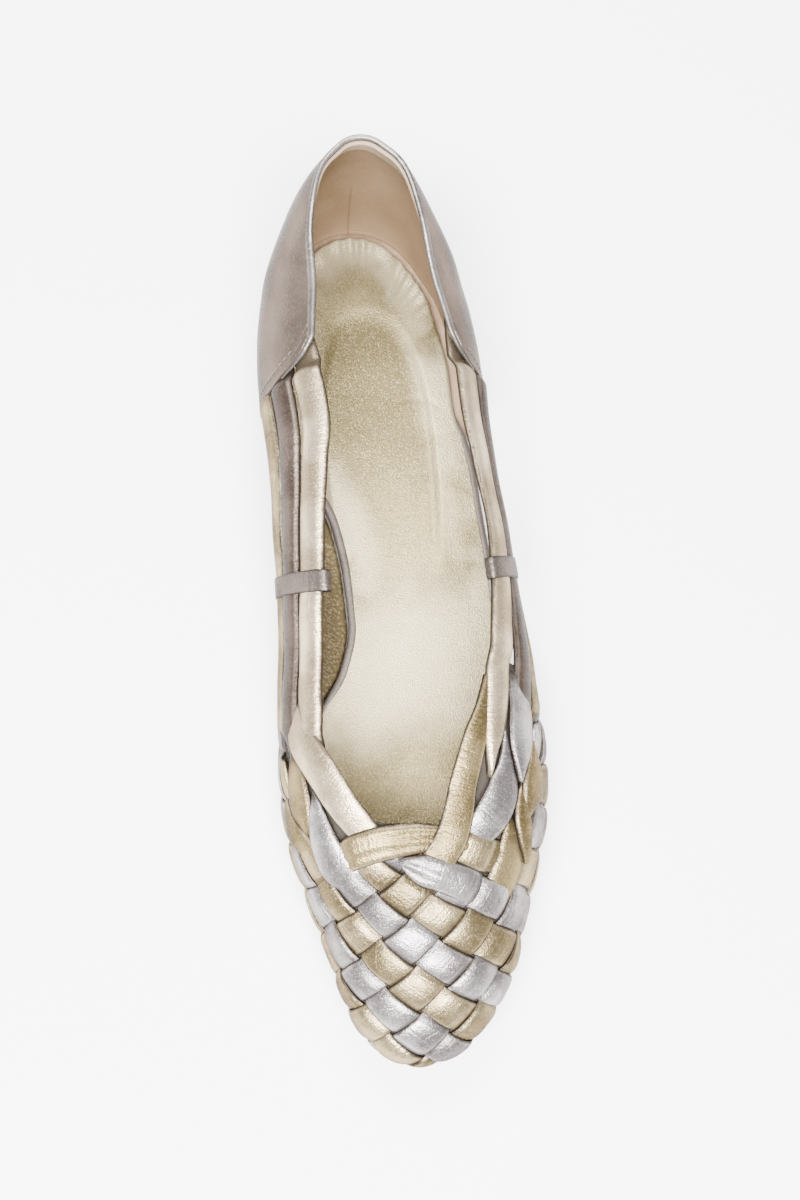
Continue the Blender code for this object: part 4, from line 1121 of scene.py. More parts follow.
def wall(flat):
    """Points under flat places, by two-way interpolation in the wall's table."""
    row, girth = wall_row(flat)
    row = np.clip(row, 0.0, len(wall_points) - 1.001)
    step = np.clip(girth / GIRTH_STEP, 0.0, wall_points.shape[1] - 1.001)
    r, g = row.astype(int), step.astype(int)
    fr, fg = (row - r)[..., None], (step - g)[..., None]
    near = wall_points[r, g] * (1.0 - fg) + wall_points[r, g + 1] * fg
    far = wall_points[r + 1, g] * (1.0 - fg) + wall_points[r + 1, g + 1] * fg
    return near * (1.0 - fr) + far * fr


def on_wall(flat, lift):
    """Points lifted off the wall along its outward normal, which is square to two short steps."""
    aside, ahead = np.eye(2)
    across = wall(flat + aside) - wall(flat - aside)
    along = wall(flat + ahead) - wall(flat - ahead)
    return wall(flat) + unit(np.cross(along, across)) * np.asarray(lift)[..., None]


def strip_section(thickness, crown, count=11):
    """Section of a strip: a crowned top with its edges turned down and a flat back, as places
    across from -1 to 1 and depths."""
    across = np.sin(np.linspace(-math.pi / 2.0, math.pi / 2.0, count))
    top = crown * (1.0 - across ** 2) - 0.5 * thickness * np.abs(across) ** STRIP_EDGE_POWER
    back = np.stack((np.linspace(STRIP_BACK, -STRIP_BACK, 5), np.full(5, -thickness)), axis=-1)
    return np.concatenate((np.stack((across, top), axis=-1), back))


def strip(flat_at, lift_at, section):
    """Closed strip on the wall: flat places and lifts for each step along and place across, its
    ends closed. Also its length along and place across, and its share of painted shade where it
    lies deep."""
    across = section[None, :, 0]
    lift = lift_at(across)
    rings = on_wall(flat_at(across), lift + section[None, :, 1])
    along = run_length(rings.mean(axis=1))
    place = np.stack(np.broadcast_arrays(along[:, None], across), axis=-1)
    # Painted shade: a share that grows as the strip's lift sinks below the others.
    sunk_shade = np.broadcast_to(smooth((SUNK_LEVEL - lift) / SUNK_DEPTH), place.shape[:2])
    padded = (np.concatenate((part[:1], part, part[-1:])) for part in (place, sunk_shade))
    return (closed_ends(rings), *padded)


def strap(side, number, start, end, dive, front=()):
    """One side strap: its middle is the opening's edge plus its number of pitches and half a
    width, easing into its drawn front if it has one, and its lift sinks behind the counter's
    front edge and beyond the dive."""
    s = np.linspace(start, end, int((end - start) / STRAP_STEP))[:, None]
    middle = by_side(TOPLINE_ROWS, TOPLINE_COLUMNS, side, s) + number * STRAP_PITCH
    middle = middle + STRAP_HALF + STRAP_MARGIN
    half = np.full_like(s, STRAP_HALF)
    if front:
        drawn = smooth((s - front[0][0]) / (front[1][0] - front[0][0]))
        middle = middle + drawn * (read(front, STRAP_FRONT_COLUMNS, "middle", s) - middle)
        half = half + drawn * (read(front, STRAP_FRONT_COLUMNS, "half", s) - half)
    lift = STRAP_LIFT - REAR_DEPTH * smooth((REAR_DIVE - s) / REAR_FADE)
    lift = lift - FRONT_DEPTH * smooth((s - dive) / FRONT_FADE)
    for height, pace, by_number, by_hand in STRAP_WAVES:
        lift = lift + height * np.sin(s / pace + number * by_number + side * by_hand)

    def flat_at(across):
        return np.stack(np.broadcast_arrays(side * (middle + across * half), s), axis=-1)

    def lift_at(across):
        return lift + 0.0 * across

    return strip(flat_at, lift_at, strip_section(STRAP_THICKNESS, STRAP_CROWN))


def strip_material(name, tones, pale, metallic, roughness):
    """Strip leather: foil skin, fine wrinkles running across it with a painted highlight along
    them and rubbed pale turned edges, with painted shade at the very edge and where it lies deep."""
    material, tree, shader, skin = leather_material(
        name, tones, metallic, roughness, grain=STRIP_GRAIN, patch=70.0,
        crease=55.0, crease_depth=0.3, relief=STRIP_RELIEF)
    place, _, across = uv_place(tree)
    stretch = node(tree, "ShaderNodeMapping", {"Scale": (0.9, 0.22, 1.0)})
    tree.links.new(place, stretch.inputs["Vector"])
    wrinkle = noise(tree, stretch.outputs["Vector"], 1.0, 4.0, Distortion=0.4)
    wear_and_shade_noise = noise(tree, object_place(tree), 240.0, 4.0)
    from_middle = sums(tree, "ABSOLUTE", across, 0.0)
    turned = sums(tree, "ADD", from_middle, scaled(tree, wear_and_shade_noise, 0.16, -0.08))
    turned = scaled(tree, ramp(tree, turned, 0.72, 0.86), 0.3)
    # Painted shade: the very edge is darkened, as shade in the gaps between strips.
    edge = sums(tree, "ADD", from_middle, scaled(tree, wear_and_shade_noise, -0.2, 0.1))
    edge = scaled(tree, ramp(tree, edge, 0.84, 0.96), 0.85)
    # Painted shade where the strip lies deep, from its per-point share.
    sunk_shade = node(tree, "ShaderNodeAttribute", attribute_name="sunk_shade").outputs["Fac"]
    shaded = sums(tree, "MAXIMUM", scaled(tree, sunk_shade, 0.8), edge)
    # Painted highlight along the wrinkles, towards the Shine colour.
    shine = scaled(tree, ramp(tree, wrinkle, 0.5, 0.8), 0.12)
    tone = mixed(tree, shine, skin.outputs["Colour"], tones[2])
    tone = mixed(tree, turned, tone, pale)
    tree.links.new(mixed(tree, shaded, tone, EDGE_GAP_SHADE), shader.inputs["Base Color"])
    height = sums(tree, "ADD", skin.outputs["Height"], scaled(tree, wrinkle, 1.6))
    tree.links.new(height, tree.nodes["Bump"].inputs["Height"])
    return material


def add_strips(name, leather, strips):
    """One piece of the upper from several strips."""
    grids, uvs, sunk_shade = zip(*strips)
    add_piece(name, grids, leather, ["upper"], uvs, sunk_shade)


gold_strap = strip_material("gold_strap_leather", GOLD, PALE_EDGE, metallic=0.7, roughness=0.35)
cream_strap = strip_material("cream_strap_leather", CREAM, PALE_EDGE, metallic=0.7, roughness=0.34)
pewter_strap = strip_material(
    "pewter_strap_leather", DARK_PEWTER_AND_SHADE, PEWTER_EDGE, metallic=0.6, roughness=0.38)
add_strips("cream_side_straps", cream_strap, [strap(*row) for row in CREAM_STRAPS])
add_strips("pewter_side_straps", pewter_strap, [strap(*row) for row in PEWTER_STRAPS])
add_strips("gold_side_straps", gold_strap, [strap(*row) for row in GOLD_STRAPS])

# Arch facing: gold leather that closes the inner arch, from under the lowest strap down and
# in to the edge of the sole, with a row of zigzag stitches inside. Its gold is toned down to a
# dark bronze as painted shade. Its section is a curve with one control point at the turn, and
# it closes on itself through its thickness.
WING_START = 134.0
VAMP_FOOT_START = 156.0
FACING_STATIONS = (68.0, 147.0)
FACING_DROP = 3.2
FACING_WALL = 1.2
FACING_SOLE_GAP = 0.6
FACING_SOLE_LIFT = 2.0
FACING_TURN = 2.5
STRAP_STACK = 3.0 * STRAP_PITCH - 1.2
FACING_ROWS = 30
# A dark bronze: the facing's gold leather with painted shade.
FACING_GOLD_SHADED = ((0.075, 0.055, 0.026), (0.040, 0.029, 0.013), (0.22, 0.17, 0.09))
ZIGZAG_LEVELS = (0.79, 0.88)
ZIGZAG_ROW = 24
ZIGZAG_PITCH = 1.7
ZIGZAG_MARGIN = 4.0
ZIGZAG_LIFT = 0.1


def facing_points(f, s):
    """Outer points: a quadratic curve from the strap's lower edge to the sole, by the share f."""
    row = np.clip((s - WALL_START) / WALL_STEP, 0, None)
    foot_girth = np.interp(row, np.arange(len(wall_foot)), wall_foot)
    edge = read(TOPLINE_ROWS, TOPLINE_COLUMNS, "medial", s) + STRAP_STACK
    edge = edge + (foot_girth - edge) * smooth((s - WING_START) / (VAMP_FOOT_START - WING_START))
    top = wall(np.stack((-np.minimum(edge + FACING_DROP, foot_girth), s), axis=-1))
    x = sole_edge(-1.0, s, -FACING_SOLE_GAP, SOLE_HEEL_END, SOLE_TOE_END)
    foot = np.stack((x, LENGTH / 2.0 - s, last("underside", s) + FACING_SOLE_LIFT), axis=-1)
    corner = np.stack((top[..., 0] + FACING_TURN, top[..., 1], foot[..., 2]), axis=-1)
    f = np.asarray(f)[..., None]
    return top * (1.0 - f) ** 2 + 2.0 * corner * f * (1.0 - f) + foot * f * f


facing_f, facing_s = np.meshgrid(
    np.linspace(0.0, 1.0, FACING_ROWS), np.linspace(*FACING_STATIONS, 160), indexing="ij")
facing_outer = facing_points(facing_f, facing_s)
facing_normal = grid_normals(facing_outer)
facing_normal = facing_normal * np.sign(facing_normal[..., 2:])
facing_grid = shell(facing_outer, facing_outer + facing_normal * FACING_WALL)
facing_leather = leather_material(
    "shaded_gold_facing_leather", FACING_GOLD_SHADED, metallic=0.4, roughness=0.45, grain=900.0, patch=60.0,
    crease_depth=0.0, relief=0.2)[0]
add_piece("arch_facing_leather", [facing_grid], facing_leather, ["arch_facing"])
zigzag_s = np.arange(
    FACING_STATIONS[0] + ZIGZAG_MARGIN, FACING_STATIONS[1] - ZIGZAG_MARGIN, ZIGZAG_PITCH)
zigzag_f = np.where(np.arange(len(zigzag_s)) % 2 == 0, *ZIGZAG_LEVELS)
zigzag_up = read_along(zigzag_s, facing_s[0], facing_normal[ZIGZAG_ROW])
zigzag_line = facing_points(zigzag_f, zigzag_s) + zigzag_up * (FACING_WALL + ZIGZAG_LIFT)
zigzag_way = np.diff(zigzag_line, axis=0)
zigzag_middle = (zigzag_line[1:] + zigzag_line[:-1]) / 2.0
zigzag_length = float(np.linalg.norm(zigzag_way, axis=1).mean())
zigzag_bars = stitch_bars(zigzag_middle, zigzag_way, zigzag_up[1:], zigzag_length)
brown_thread = thread_material("brown_thread", (0.022, 0.015, 0.008), (0.075, 0.054, 0.028))
add_piece("facing_zigzag", zigzag_bars, brown_thread)

# Strap keepers: a narrow silver tape with dark edges, looped round the three straps of each
# side at the waist and sewn shut. A flat section runs round a rounded rectangle.
KEEPER_STATION = 119.5
KEEPER_WIDTH = 6.0
KEEPER_THICKNESS = 1.0
KEEPER_CLEARANCE = 0.4
KEEPER_END_ROOM = 0.6
KEEPER_DEPTH_ROOM = 0.15
KEEPER_CORNERS = (0.25, 0.6)
KEEPER_LEAN = 0.2
KEEPER_SILVER = ((0.14, 0.117, 0.104), (0.080, 0.066, 0.058), (0.32, 0.285, 0.26))
KEEPER_EDGE = (0.03, 0.026, 0.023)


def keeper_loop(side):
    """Tape round the straps: its middle line is a rounded rectangle of girth and lift, and its
    flat section stands square to that line and runs along the shoe. Also its flat places."""
    middle = by_side(TOPLINE_ROWS, TOPLINE_COLUMNS, side, KEEPER_STATION) + STRAP_STACK / 2.0
    half = STRAP_STACK / 2.0 + KEEPER_END_ROOM + KEEPER_THICKNESS / 2.0
    deep = STRAP_THICKNESS / 2.0 + KEEPER_CLEARANCE + KEEPER_THICKNESS / 2.0 + KEEPER_DEPTH_ROOM
    turn = np.linspace(0.0, 2.0 * math.pi, 121)[:-1]
    line = np.stack((
        half * signed_power(np.cos(turn), KEEPER_CORNERS[0]),
        deep * signed_power(np.sin(turn), KEEPER_CORNERS[1]),
    ), axis=-1)
    ahead = np.roll(line, -1, axis=0) - np.roll(line, 1, axis=0)
    out = unit(np.stack((ahead[:, 1], -ahead[:, 0]), axis=-1))
    section = oval(KEEPER_WIDTH / 2.0, KEEPER_THICKNESS / 2.0, power=0.35, count=16)
    girth = middle + line[:, None, 0] + out[:, None, 0] * section[None, :, 1]
    lift = line[:, None, 1] - STRAP_THICKNESS / 2.0 + out[:, None, 1] * section[None, :, 1]
    station = KEEPER_STATION + section[None, :, 0] - KEEPER_LEAN * (girth - middle)
    rings = on_wall(np.stack((side * girth, station), axis=-1), lift)
    across = section[None, :, 0] / (KEEPER_WIDTH / 2.0)
    place = np.stack(np.broadcast_arrays(girth, across), axis=-1)
    return np.concatenate((rings, rings[:1])), np.concatenate((place, place[:1]))


silver_tape = strip_material(
    "silver_keeper_tape", KEEPER_SILVER, KEEPER_EDGE, metallic=0.75, roughness=0.36)
for keeper_side, keeper_name in ((-1.0, "medial"), (1.0, "lateral")):
    keeper_grid, keeper_uv = keeper_loop(keeper_side)
    add_piece("silver_keeper_" + keeper_name, [keeper_grid], silver_tape,
              ["strap_keeper_" + keeper_name], uvs=[keeper_uv])

# Vamp lining: thin dark leather under the weave, glued to the last side of the strips. Its
# near-black tone is partly the leather's own and partly painted shade in the gaps of the weave.
# It is one sheet of the wall from the throat to the feather line, closed through its thickness.
VAMP_START = 150.0
LINING_LIFT = -1.35
LINING_THICKNESS = 0.45
LINING_ROOM = 3.0
LINING_STEPS = 50
# Near-black: the lining's own dark taupe, deepened as painted shade for the gaps.
LINING_DARK_AND_GAP_SHADE = ((0.032, 0.026, 0.021), (0.02, 0.016, 0.013), (0.06, 0.05, 0.042))


def edge_girth(side, stations):
    """Girth of the opening's edge, closing to nothing just ahead of the throat."""
    girth = by_side(TOPLINE_ROWS, TOPLINE_COLUMNS, side, stations)
    return np.where(stations > TOPLINE_ROWS[-1][0], 0.0, girth)


vamp_skip = int((VAMP_START - WALL_START) / WALL_STEP)
vamp_rows = np.arange(vamp_skip, len(wall_points) - vamp_skip, 2)
vamp_share = (vamp_rows - wall_sides) / (TOE_RAYS - 1)
vamp_side = np.where(vamp_share < 0.5, -1.0, 1.0)
vamp_in_toe = (vamp_share >= 0.0) & (vamp_share <= 1.0)
vamp_turn = np.clip(vamp_share, 0.0, 1.0) * math.pi - math.pi / 2.0
vamp_inner_station = WALL_START + vamp_rows * WALL_STEP
vamp_outer_station = TOE_POLE - (vamp_rows - wall_sides - TOE_RAYS + 1) * WALL_STEP
vamp_station = np.where(vamp_share < 0.0, vamp_inner_station, vamp_outer_station)
vamp_station = np.where(vamp_in_toe, TOE_POLE, vamp_station)
vamp_edge = np.where(vamp_in_toe, 0.0, edge_girth(vamp_side, vamp_station)) + LINING_ROOM
vamp_down = np.linspace(0.0, 1.0, LINING_STEPS)[None, :]
vamp_girth = vamp_edge[:, None] + (wall_foot[vamp_rows] - vamp_edge)[:, None] * vamp_down
vamp_across = vamp_girth * np.where(vamp_in_toe, np.sin(vamp_turn), vamp_side)[:, None]
vamp_ahead = vamp_girth * np.where(vamp_in_toe, np.cos(vamp_turn), 0.0)[:, None]
vamp_flat = np.stack((vamp_across, vamp_station[:, None] + vamp_ahead), axis=-1)
vamp_outer = on_wall(vamp_flat, np.full(vamp_girth.shape, LINING_LIFT))
vamp_inner = on_wall(vamp_flat, np.full(vamp_girth.shape, LINING_LIFT - LINING_THICKNESS))
vamp_sheet = np.concatenate((vamp_outer, vamp_inner[:, ::-1]), axis=1)
lining_with_gap_shade, _, lining_shader, _ = leather_material(
    "taupe_vamp_lining", LINING_DARK_AND_GAP_SHADE, metallic=0.0, roughness=0.75, grain=1200.0, relief=0.05)
lining_shader.inputs["Specular IOR Level"].default_value = 0.15
add_piece("vamp_lining", [vamp_sheet], lining_with_gap_shade, ["upper"])

# Woven vamp: gold and silver strips plaited on the slant, each going over and under the ones
# it crosses, and cut at the feather line. A slightly bent lattice of lines on the unrolled
# wall gives every strip's middle, and a squared-off wave gives its height.
WEAVE_TERMS = np.array((  # across and along, for 1, m, n, mm, mn and nn
    (-13.29, 223.17),
    (7.73, -4.36),
    (7.93, 8.17),
    (-0.17, -0.47),
    (0.35, -1.25),
    (0.26, -0.44),
))
WEAVE_BEND = 0.55
BEND_START = 2.5
BEND_LENGTH = 3.5
WEAVE_HALF = 0.47
WEAVE_HEIGHT = 0.9
WEAVE_SQUARENESS = 1.5
WEAVE_DROP = 0.2
WEAVE_TILT = 0.22
WEAVE_THICKNESS = 1.1
WEAVE_CROWN = 0.3
WEAVE_STEP = 0.06
WEAVE_REAR = 151.0
FOOT_ROOM = 2.0
SHORTEST_STRIP = 0.7
M_FIRST = -6  # strips that run along n, each at a fixed m
M_STARTS = 6 * (-9.0,) + (-3.3, -3.1, -2.5, -1.3, -0.9, 1.45, 1.45) + 3 * (0.8,)
M_END = 9.5
N_FIRST = -8  # strips that run along m, each at a fixed n
N_START = -7.0
N_ENDS = 4 * (0.4,) + (-0.5, 0.7, 3.1, 3.0, 4.3, 3.4) + 6 * (9.6,)
SILVER_WEAVE = ((0.285, 0.264, 0.262), (0.105, 0.094, 0.092), (0.62, 0.60, 0.60))
SILVER_EDGE = (0.32, 0.29, 0.26)


def weave(m, n):
    """Flat place of lattice lines m and n: a full quadratic, with the lateral rear lines bent back."""
    m, n = np.broadcast_arrays(m, n - WEAVE_BEND * smooth((m - BEND_START) / BEND_LENGTH))
    return np.stack((np.ones_like(n), m, n, m * m, m * n, n * n), axis=-1) @ WEAVE_TERMS


def lattice(runs_along_n, line, t):
    """Flat places along a lattice line of either set."""
    return weave(line, t) if runs_along_n else weave(t, line)


def over_under(phase):
    """Height of a strip along the weave: a cosine squared off by a hyperbolic tangent."""
    wave = np.tanh(WEAVE_SQUARENESS * np.cos(math.pi * phase))
    return WEAVE_HEIGHT * wave / math.tanh(WEAVE_SQUARENESS)


def inside_foot(flat):
    """True where flat places lie above the feather line, with a little room below it."""
    row, girth = wall_row(flat)
    foot = np.interp(row, np.arange(len(wall_foot)), wall_foot)
    return (girth < foot + FOOT_ROOM) & (flat[..., 1] > WEAVE_REAR)


def longest_run(mask):
    """First and last index of the longest unbroken run of true values."""
    edges = np.flatnonzero(np.diff(np.concatenate(([0], mask.astype(int), [0]))))
    starts, ends = edges[::2], edges[1::2]
    pick = np.argmax(ends - starts)
    return starts[pick], ends[pick]


def woven_strip(runs_along_n, number, low, high):
    """One strip of the weave: along n at a fixed m, or along m at a fixed n, kept above the foot.
    None if too little of it is left."""
    t = np.arange(low, high, WEAVE_STEP)
    above = inside_foot(lattice(runs_along_n, float(number), t))
    if above.sum() * WEAVE_STEP <= SHORTEST_STRIP:
        return None
    first, end = longest_run(above)
    t = t[first:end, None]
    upward = 1.0 if runs_along_n else -1.0
    height = over_under(number + t) * upward

    def flat_at(across):
        return lattice(runs_along_n, number + across * WEAVE_HALF, t)

    def lift_at(across):
        return height + WEAVE_TILT * upward * across - WEAVE_DROP

    return strip(flat_at, lift_at, strip_section(WEAVE_THICKNESS, WEAVE_CROWN))


woven = {"gold": [], "silver": []}
strip_rows = [(True, M_FIRST + k, start, M_END) for k, start in enumerate(M_STARTS)]
strip_rows += [(False, N_FIRST + k, N_START, end) for k, end in enumerate(N_ENDS)]
for strip_runs, strip_number, strip_low, strip_high in strip_rows:
    strip_made = woven_strip(strip_runs, strip_number, strip_low, strip_high)
    strip_colour = "silver" if strip_number % 2 == int(strip_runs) else "gold"
    if strip_made is not None:
        woven[strip_colour].append(strip_made)
gold_weave = strip_material("gold_weave_leather", GOLD, PALE_EDGE, metallic=0.75, roughness=0.33)
silver_weave = strip_material(
    "silver_weave_leather", SILVER_WEAVE, SILVER_EDGE, metallic=0.75, roughness=0.33)
add_strips("gold_woven_strips", gold_weave, woven["gold"])
add_strips("silver_woven_strips", silver_weave, woven["silver"])

# Throat strips: the wider strips that edge the opening. A cream one comes down the inner side,
# a gold one down the outer, a folded gold band joins them across the throat, and a silver
# strip starts there in a soft knot. Each follows a drawn line on the unrolled wall.
MEDIAL_LINE = (
    (-47, 148), (-43.5, 154.5), (-37.5, 162), (-30.8, 170), (-22.7, 181.9), (-16.2, 190.9), (-13, 195.5),
)
LATERAL_LINE = (
    (19.5, 152), (17.2, 160.5), (14.5, 167.8), (11.6, 175), (9.5, 180.8), (8, 186.7), (5.6, 192.9),
    (1.5, 199), (-3, 205.5),
)
BAND_LINE = (
    (-26, 196), (-19, 193.6), (-11.5, 192.6), (-4, 192.4), (6, 193.6), (15, 198), (24.5, 200.9),
)
KNOT_LINE = (
    (-8.3, 197.1), (-5.4, 198.6), (-1.3, 200.5), (4.8, 203.1), (9.4, 205.4), (13.4, 207.6),
)
UNFOLDED = ((0, 0.0), (1, 0.0))
THROAT_THICKNESS = 1.2
FOLD_WAVES = ((1.0, 2.6 * math.pi, 1.5), (0.5, 4.4, -9.0))  # height, across, along
DRAWN_STEPS = 110
DRAWN_POINTS = 17
DEEP_GOLD = ((0.175, 0.130, 0.062), (0.075, 0.054, 0.023), (0.44, 0.36, 0.22))


def drawn_line(points, count):
    """Smooth curve through points at even lengths, with its unit normal to the right."""
    given = np.array(points, dtype=float)
    run = run_length(given)
    at = np.linspace(0.0, run[-1], count)
    columns = ("run", "value")
    line = np.stack([read(tuple(zip(run, part)), columns, "value", at) for part in given.T], axis=-1)
    along = unit(np.gradient(line, axis=0))
    return at / run[-1], line, np.stack((along[:, 1], -along[:, 0]), axis=-1)


def drawn_strip(points, half, lifts, folds=UNFOLDED, crown=0.4):
    """Strip along a drawn line: half widths, lifts and the depth of its folds are read along it."""
    share, line, right = drawn_line(points, DRAWN_STEPS)
    width, lift, fold = (
        read(rows, ("share", "value"), "value", share)[:, None] for rows in (half, lifts, folds))
    share = share[:, None]

    def flat_at(across):
        return line[:, None, :] + right[:, None, :] * (width * across)[..., None]

    def lift_at(across):
        ripple = sum(high * np.cos(a * across + b * share) for high, a, b in FOLD_WAVES)
        return lift + fold * ripple * (1.0 - across ** 4)

    return strip(flat_at, lift_at, strip_section(THROAT_THICKNESS, crown, DRAWN_POINTS))


medial_strip = drawn_strip(
    MEDIAL_LINE, ((0, 4.4), (0.3, 5.0), (0.55, 4.7), (0.8, 4.1), (1, 3.6)),
    ((0, -0.9), (0.12, -0.5), (0.32, 0.9), (0.7, 1.0), (0.88, 0.3), (1, -0.6)))
lateral_strip = drawn_strip(
    LATERAL_LINE, ((0, 0.4), (0.15, 1.9), (0.3, 3.5), (0.5, 3.9), (0.8, 4.5), (1, 4.6)),
    ((0, -0.2), (0.25, 0.2), (0.5, 1.0), (0.75, 1.9), (0.88, 1.3), (1, -0.8)))
band_strip = drawn_strip(
    BAND_LINE, ((0, 4.2), (0.15, 4.6), (0.4, 4.2), (0.55, 3.4), (0.75, 4.2), (1, 4.5)),
    ((0, -0.8), (0.05, 0.4), (0.13, 1.5), (0.35, 1.3), (0.6, 0.7), (0.8, 0.0), (1, -0.6)),
    ((0, 0.1), (0.2, 0.16), (0.5, 0.22), (0.7, 0.1), (1, 0.0)))
knot_strip = drawn_strip(
    KNOT_LINE, ((0, 0.3), (0.13, 2.4), (0.32, 4.1), (0.59, 4.3), (0.81, 4.6), (1, 4.6)),
    ((0, 1.4), (0.13, 2.1), (0.4, 2.1), (0.65, 1.2), (0.85, 0.5), (1, -0.8)),
    ((0, 0.1), (0.2, 0.32), (0.45, 0.2), (0.7, 0.0), (1, 0.0)), crown=0.9)
cream_throat = strip_material("cream_throat_leather", CREAM, PALE_EDGE, metallic=0.7, roughness=0.33)
gold_throat = strip_material("gold_throat_leather", DEEP_GOLD, PALE_EDGE, metallic=0.7, roughness=0.33)
add_strips("cream_throat_strip", cream_throat, [medial_strip])
add_strips("gold_throat_strips", gold_throat, [lateral_strip, band_strip])
add_strips("silver_throat_knot", silver_weave, [knot_strip])

# Rear strips: where the side straps run into the plait, the gold and silver strips are pulled
# to leaf shapes with dark gaps between. Each follows a drawn line on the unrolled wall.
silver_leaf = drawn_strip(
    ((24.2, 165.5), (24.0, 170), (23.6, 174.5), (22.3, 180.5), (19.4, 186), (15, 191.3), (11.5, 195.7)),
    ((0, 0.4), (0.15, 1.3), (0.28, 2.5), (0.47, 4.9), (0.66, 5.3), (0.85, 4.6), (1, 4.2)),
    ((0, -0.4), (0.3, 0.5), (0.6, 1.4), (0.78, 1.3), (0.9, 0.3), (1, -1.0)), crown=0.5)
silver_tip = drawn_strip(
    ((34, 149), (32.6, 155), (31, 161), (29.6, 166), (28.5, 171), (27.9, 175), (27.4, 180)),
    ((0, 4.4), (0.3, 4.9), (0.55, 4.8), (0.7, 4.2), (0.84, 2.6), (1, 0.4)),
    ((0, -1.2), (0.2, 0.0), (0.4, 1.4), (0.75, 2.0), (1, 1.4)), crown=0.5)
silver_fold = drawn_strip(
    ((-33.2, 176.5), (-32.4, 181), (-30, 188.5), (-27.2, 194.9), (-23.6, 199.3), (-20, 203.5)),
    ((0, 0.4), (0.17, 2.6), (0.43, 4.2), (0.67, 4.8), (0.85, 4.3), (1, 4.2)),
    ((0, -1.0), (0.2, 0.3), (0.45, 1.2), (0.7, 1.2), (0.86, 0.3), (1, -1.0)), crown=0.5)
gold_leaf = drawn_strip(
    ((34.6, 168.5), (34.1, 174), (33.3, 178), (32.2, 182), (30.9, 186), (30.2, 190)),
    ((0, 0.4), (0.25, 2.4), (0.45, 4.1), (0.6, 4.4), (0.8, 3.0), (1, 0.7)),
    ((0, 0.6), (0.3, 1.6), (0.6, 2.0), (0.85, 1.3), (1, 0.3)), crown=0.5)
gold_slip = drawn_strip(
    ((29.8, 180), (28.4, 185.5), (27.8, 190), (28.3, 195), (29.2, 201)),
    ((0, 0.8), (0.25, 2.4), (0.5, 3.1), (0.75, 2.4), (1, 0.6)),
    ((0, 0.2), (0.3, 1.2), (0.6, 2.0), (0.85, 1.9), (1, 1.3)), crown=0.5)
gold_curl = drawn_strip(
    ((23.5, 187.5), (24.5, 193), (24.6, 198), (22.6, 203), (19.3, 208), (16, 212)),
    ((0, 0.5), (0.2, 2.8), (0.4, 4.8), (0.65, 5.0), (1, 4.6)),
    ((0, -0.6), (0.25, 0.0), (0.5, 0.6), (0.75, 0.3), (1, -0.8)), crown=0.5)
gold_inner = drawn_strip(
    ((-44, 163), (-41.9, 169), (-39.3, 174.7), (-38.2, 178.7), (-36.3, 185), (-35.6, 189)),
    ((0, 1.0), (0.22, 2.6), (0.45, 4.5), (0.6, 4.6), (0.84, 2.6), (1, 0.8)),
    ((0, -1.4), (0.22, -0.2), (0.45, 0.7), (0.65, 0.8), (0.85, 0.2), (1, -0.9)), crown=0.5)
gold_cross = drawn_strip(
    ((-51, 176.5), (-46.6, 180.8), (-43.1, 184.8), (-38.6, 188.8), (-35.4, 192.5), (-32.4, 197),
     (-29.5, 202)),
    ((0, 3.0), (0.2, 3.6), (0.4, 3.6), (0.6, 2.9), (0.75, 3.2), (1, 4.2)),
    ((0, -0.8), (0.2, 0.6), (0.4, 1.1), (0.6, 0.5), (0.8, 0.3), (1, -0.8)), crown=0.5)
add_strips("silver_rear_strips", silver_weave, [silver_leaf, silver_tip, silver_fold])
add_strips("gold_rear_strips", gold_throat, [gold_leaf, gold_slip, gold_curl, gold_inner, gold_cross])

# Studio: a plain pale floor, a soft panel above the toe with a weaker one behind the heel, and a
# camera that looks down on the shoe from above its toe, at the photograph's angle and roll.
FLOOR_HALF = 3.0
FLOOR_TONES = ((0.80, 0.80, 0.80), (0.82, 0.82, 0.815))
SKY_COLOUR = (1.0, 0.995, 0.985, 1.0)
SKY_STRENGTH = 0.25
CAMERA_PLACE = (-0.04207, -0.0946, 0.38195)
CAMERA_AIM = (0.00067, 0.00109, 0.025)
CAMERA_ROLL = math.radians(18.209)
SENSOR_HEIGHT = 24.0
FOCAL_SHARE = 1300.0 / 1200.0


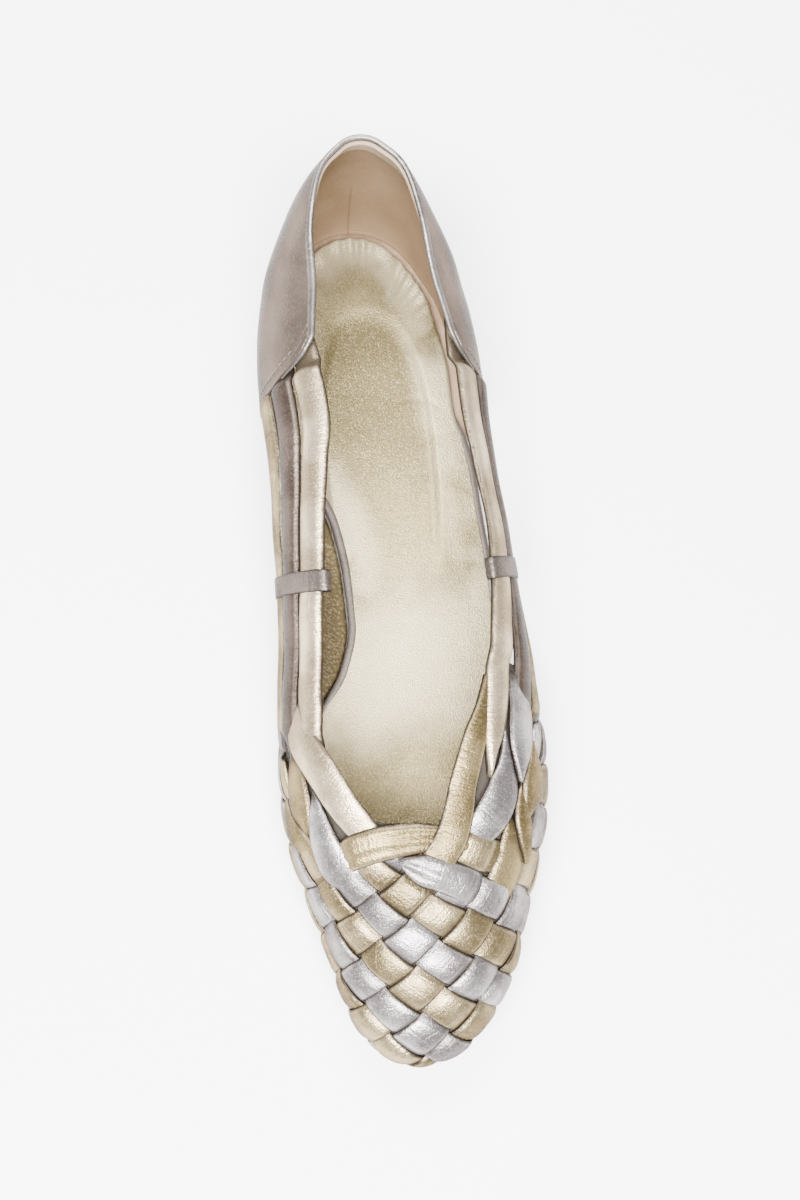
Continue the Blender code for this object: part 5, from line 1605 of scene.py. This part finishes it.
def floor_material():
    """Matt pale paper with a faint unevenness."""
    material, tree, shader = new_material("pale_floor_paper")
    cloud = noise(tree, object_place(tree), 3.0, 2.0)
    tree.links.new(mixed(tree, cloud, *FLOOR_TONES), shader.inputs["Base Color"])
    shader.inputs["Roughness"].default_value = 0.9
    shader.inputs["Specular IOR Level"].default_value = 0.1
    return material


floor_signs = ((-1.0, -1.0), (1.0, -1.0), (1.0, 1.0), (-1.0, 1.0))
floor_corners = [(x * FLOOR_HALF, y * FLOOR_HALF, 0.0) for x, y in floor_signs]
floor_mesh = bpy.data.meshes.new("floor")
floor_mesh.from_pydata(floor_corners, [], [(0, 1, 2, 3)])
floor_mesh.materials.append(floor_material())
floor = bpy.data.objects.new("floor", floor_mesh)
bpy.context.scene.collection.objects.link(floor)

studio = bpy.data.worlds.new("studio")
studio.use_nodes = True
sky = studio.node_tree.nodes["Background"]
sky.inputs["Color"].default_value = SKY_COLOUR
sky.inputs["Strength"].default_value = SKY_STRENGTH
bpy.context.scene.world = studio


def soft_light(name, place, aim, width, depth, power):
    """Oblong area light aimed at a point."""
    data = bpy.data.lights.new(name, "AREA")
    data.shape = "RECTANGLE"
    data.size = width
    data.size_y = depth
    data.energy = power
    lamp = bpy.data.objects.new(name, data)
    lamp.location = place
    lamp.rotation_euler = (Vector(aim) - Vector(place)).to_track_quat("-Z", "Y").to_euler()
    bpy.context.scene.collection.objects.link(lamp)


soft_light(
    "front_panel", place=(-0.18, -0.49, 1.04), aim=(0.0, 0.0, 0.0), width=1.15, depth=0.5, power=138.0)
soft_light(
    "back_panel", place=(-0.05, 0.62, 0.95), aim=(0.0, 0.08, 0.03), width=0.6, depth=0.6, power=34.0)

lens = bpy.data.cameras.new("photo_camera")
lens.sensor_fit = "VERTICAL"
lens.sensor_height = SENSOR_HEIGHT
lens.lens = SENSOR_HEIGHT * FOCAL_SHARE
lens.clip_start = 0.01
camera = bpy.data.objects.new("photo_camera", lens)
camera.location = CAMERA_PLACE
looking = (Vector(CAMERA_AIM) - Vector(CAMERA_PLACE)).to_track_quat("-Z", "Y").to_matrix()
camera.rotation_euler = (looking @ Matrix.Rotation(CAMERA_ROLL, 3, "Z")).to_euler()
bpy.context.scene.collection.objects.link(camera)
bpy.context.scene.camera = camera
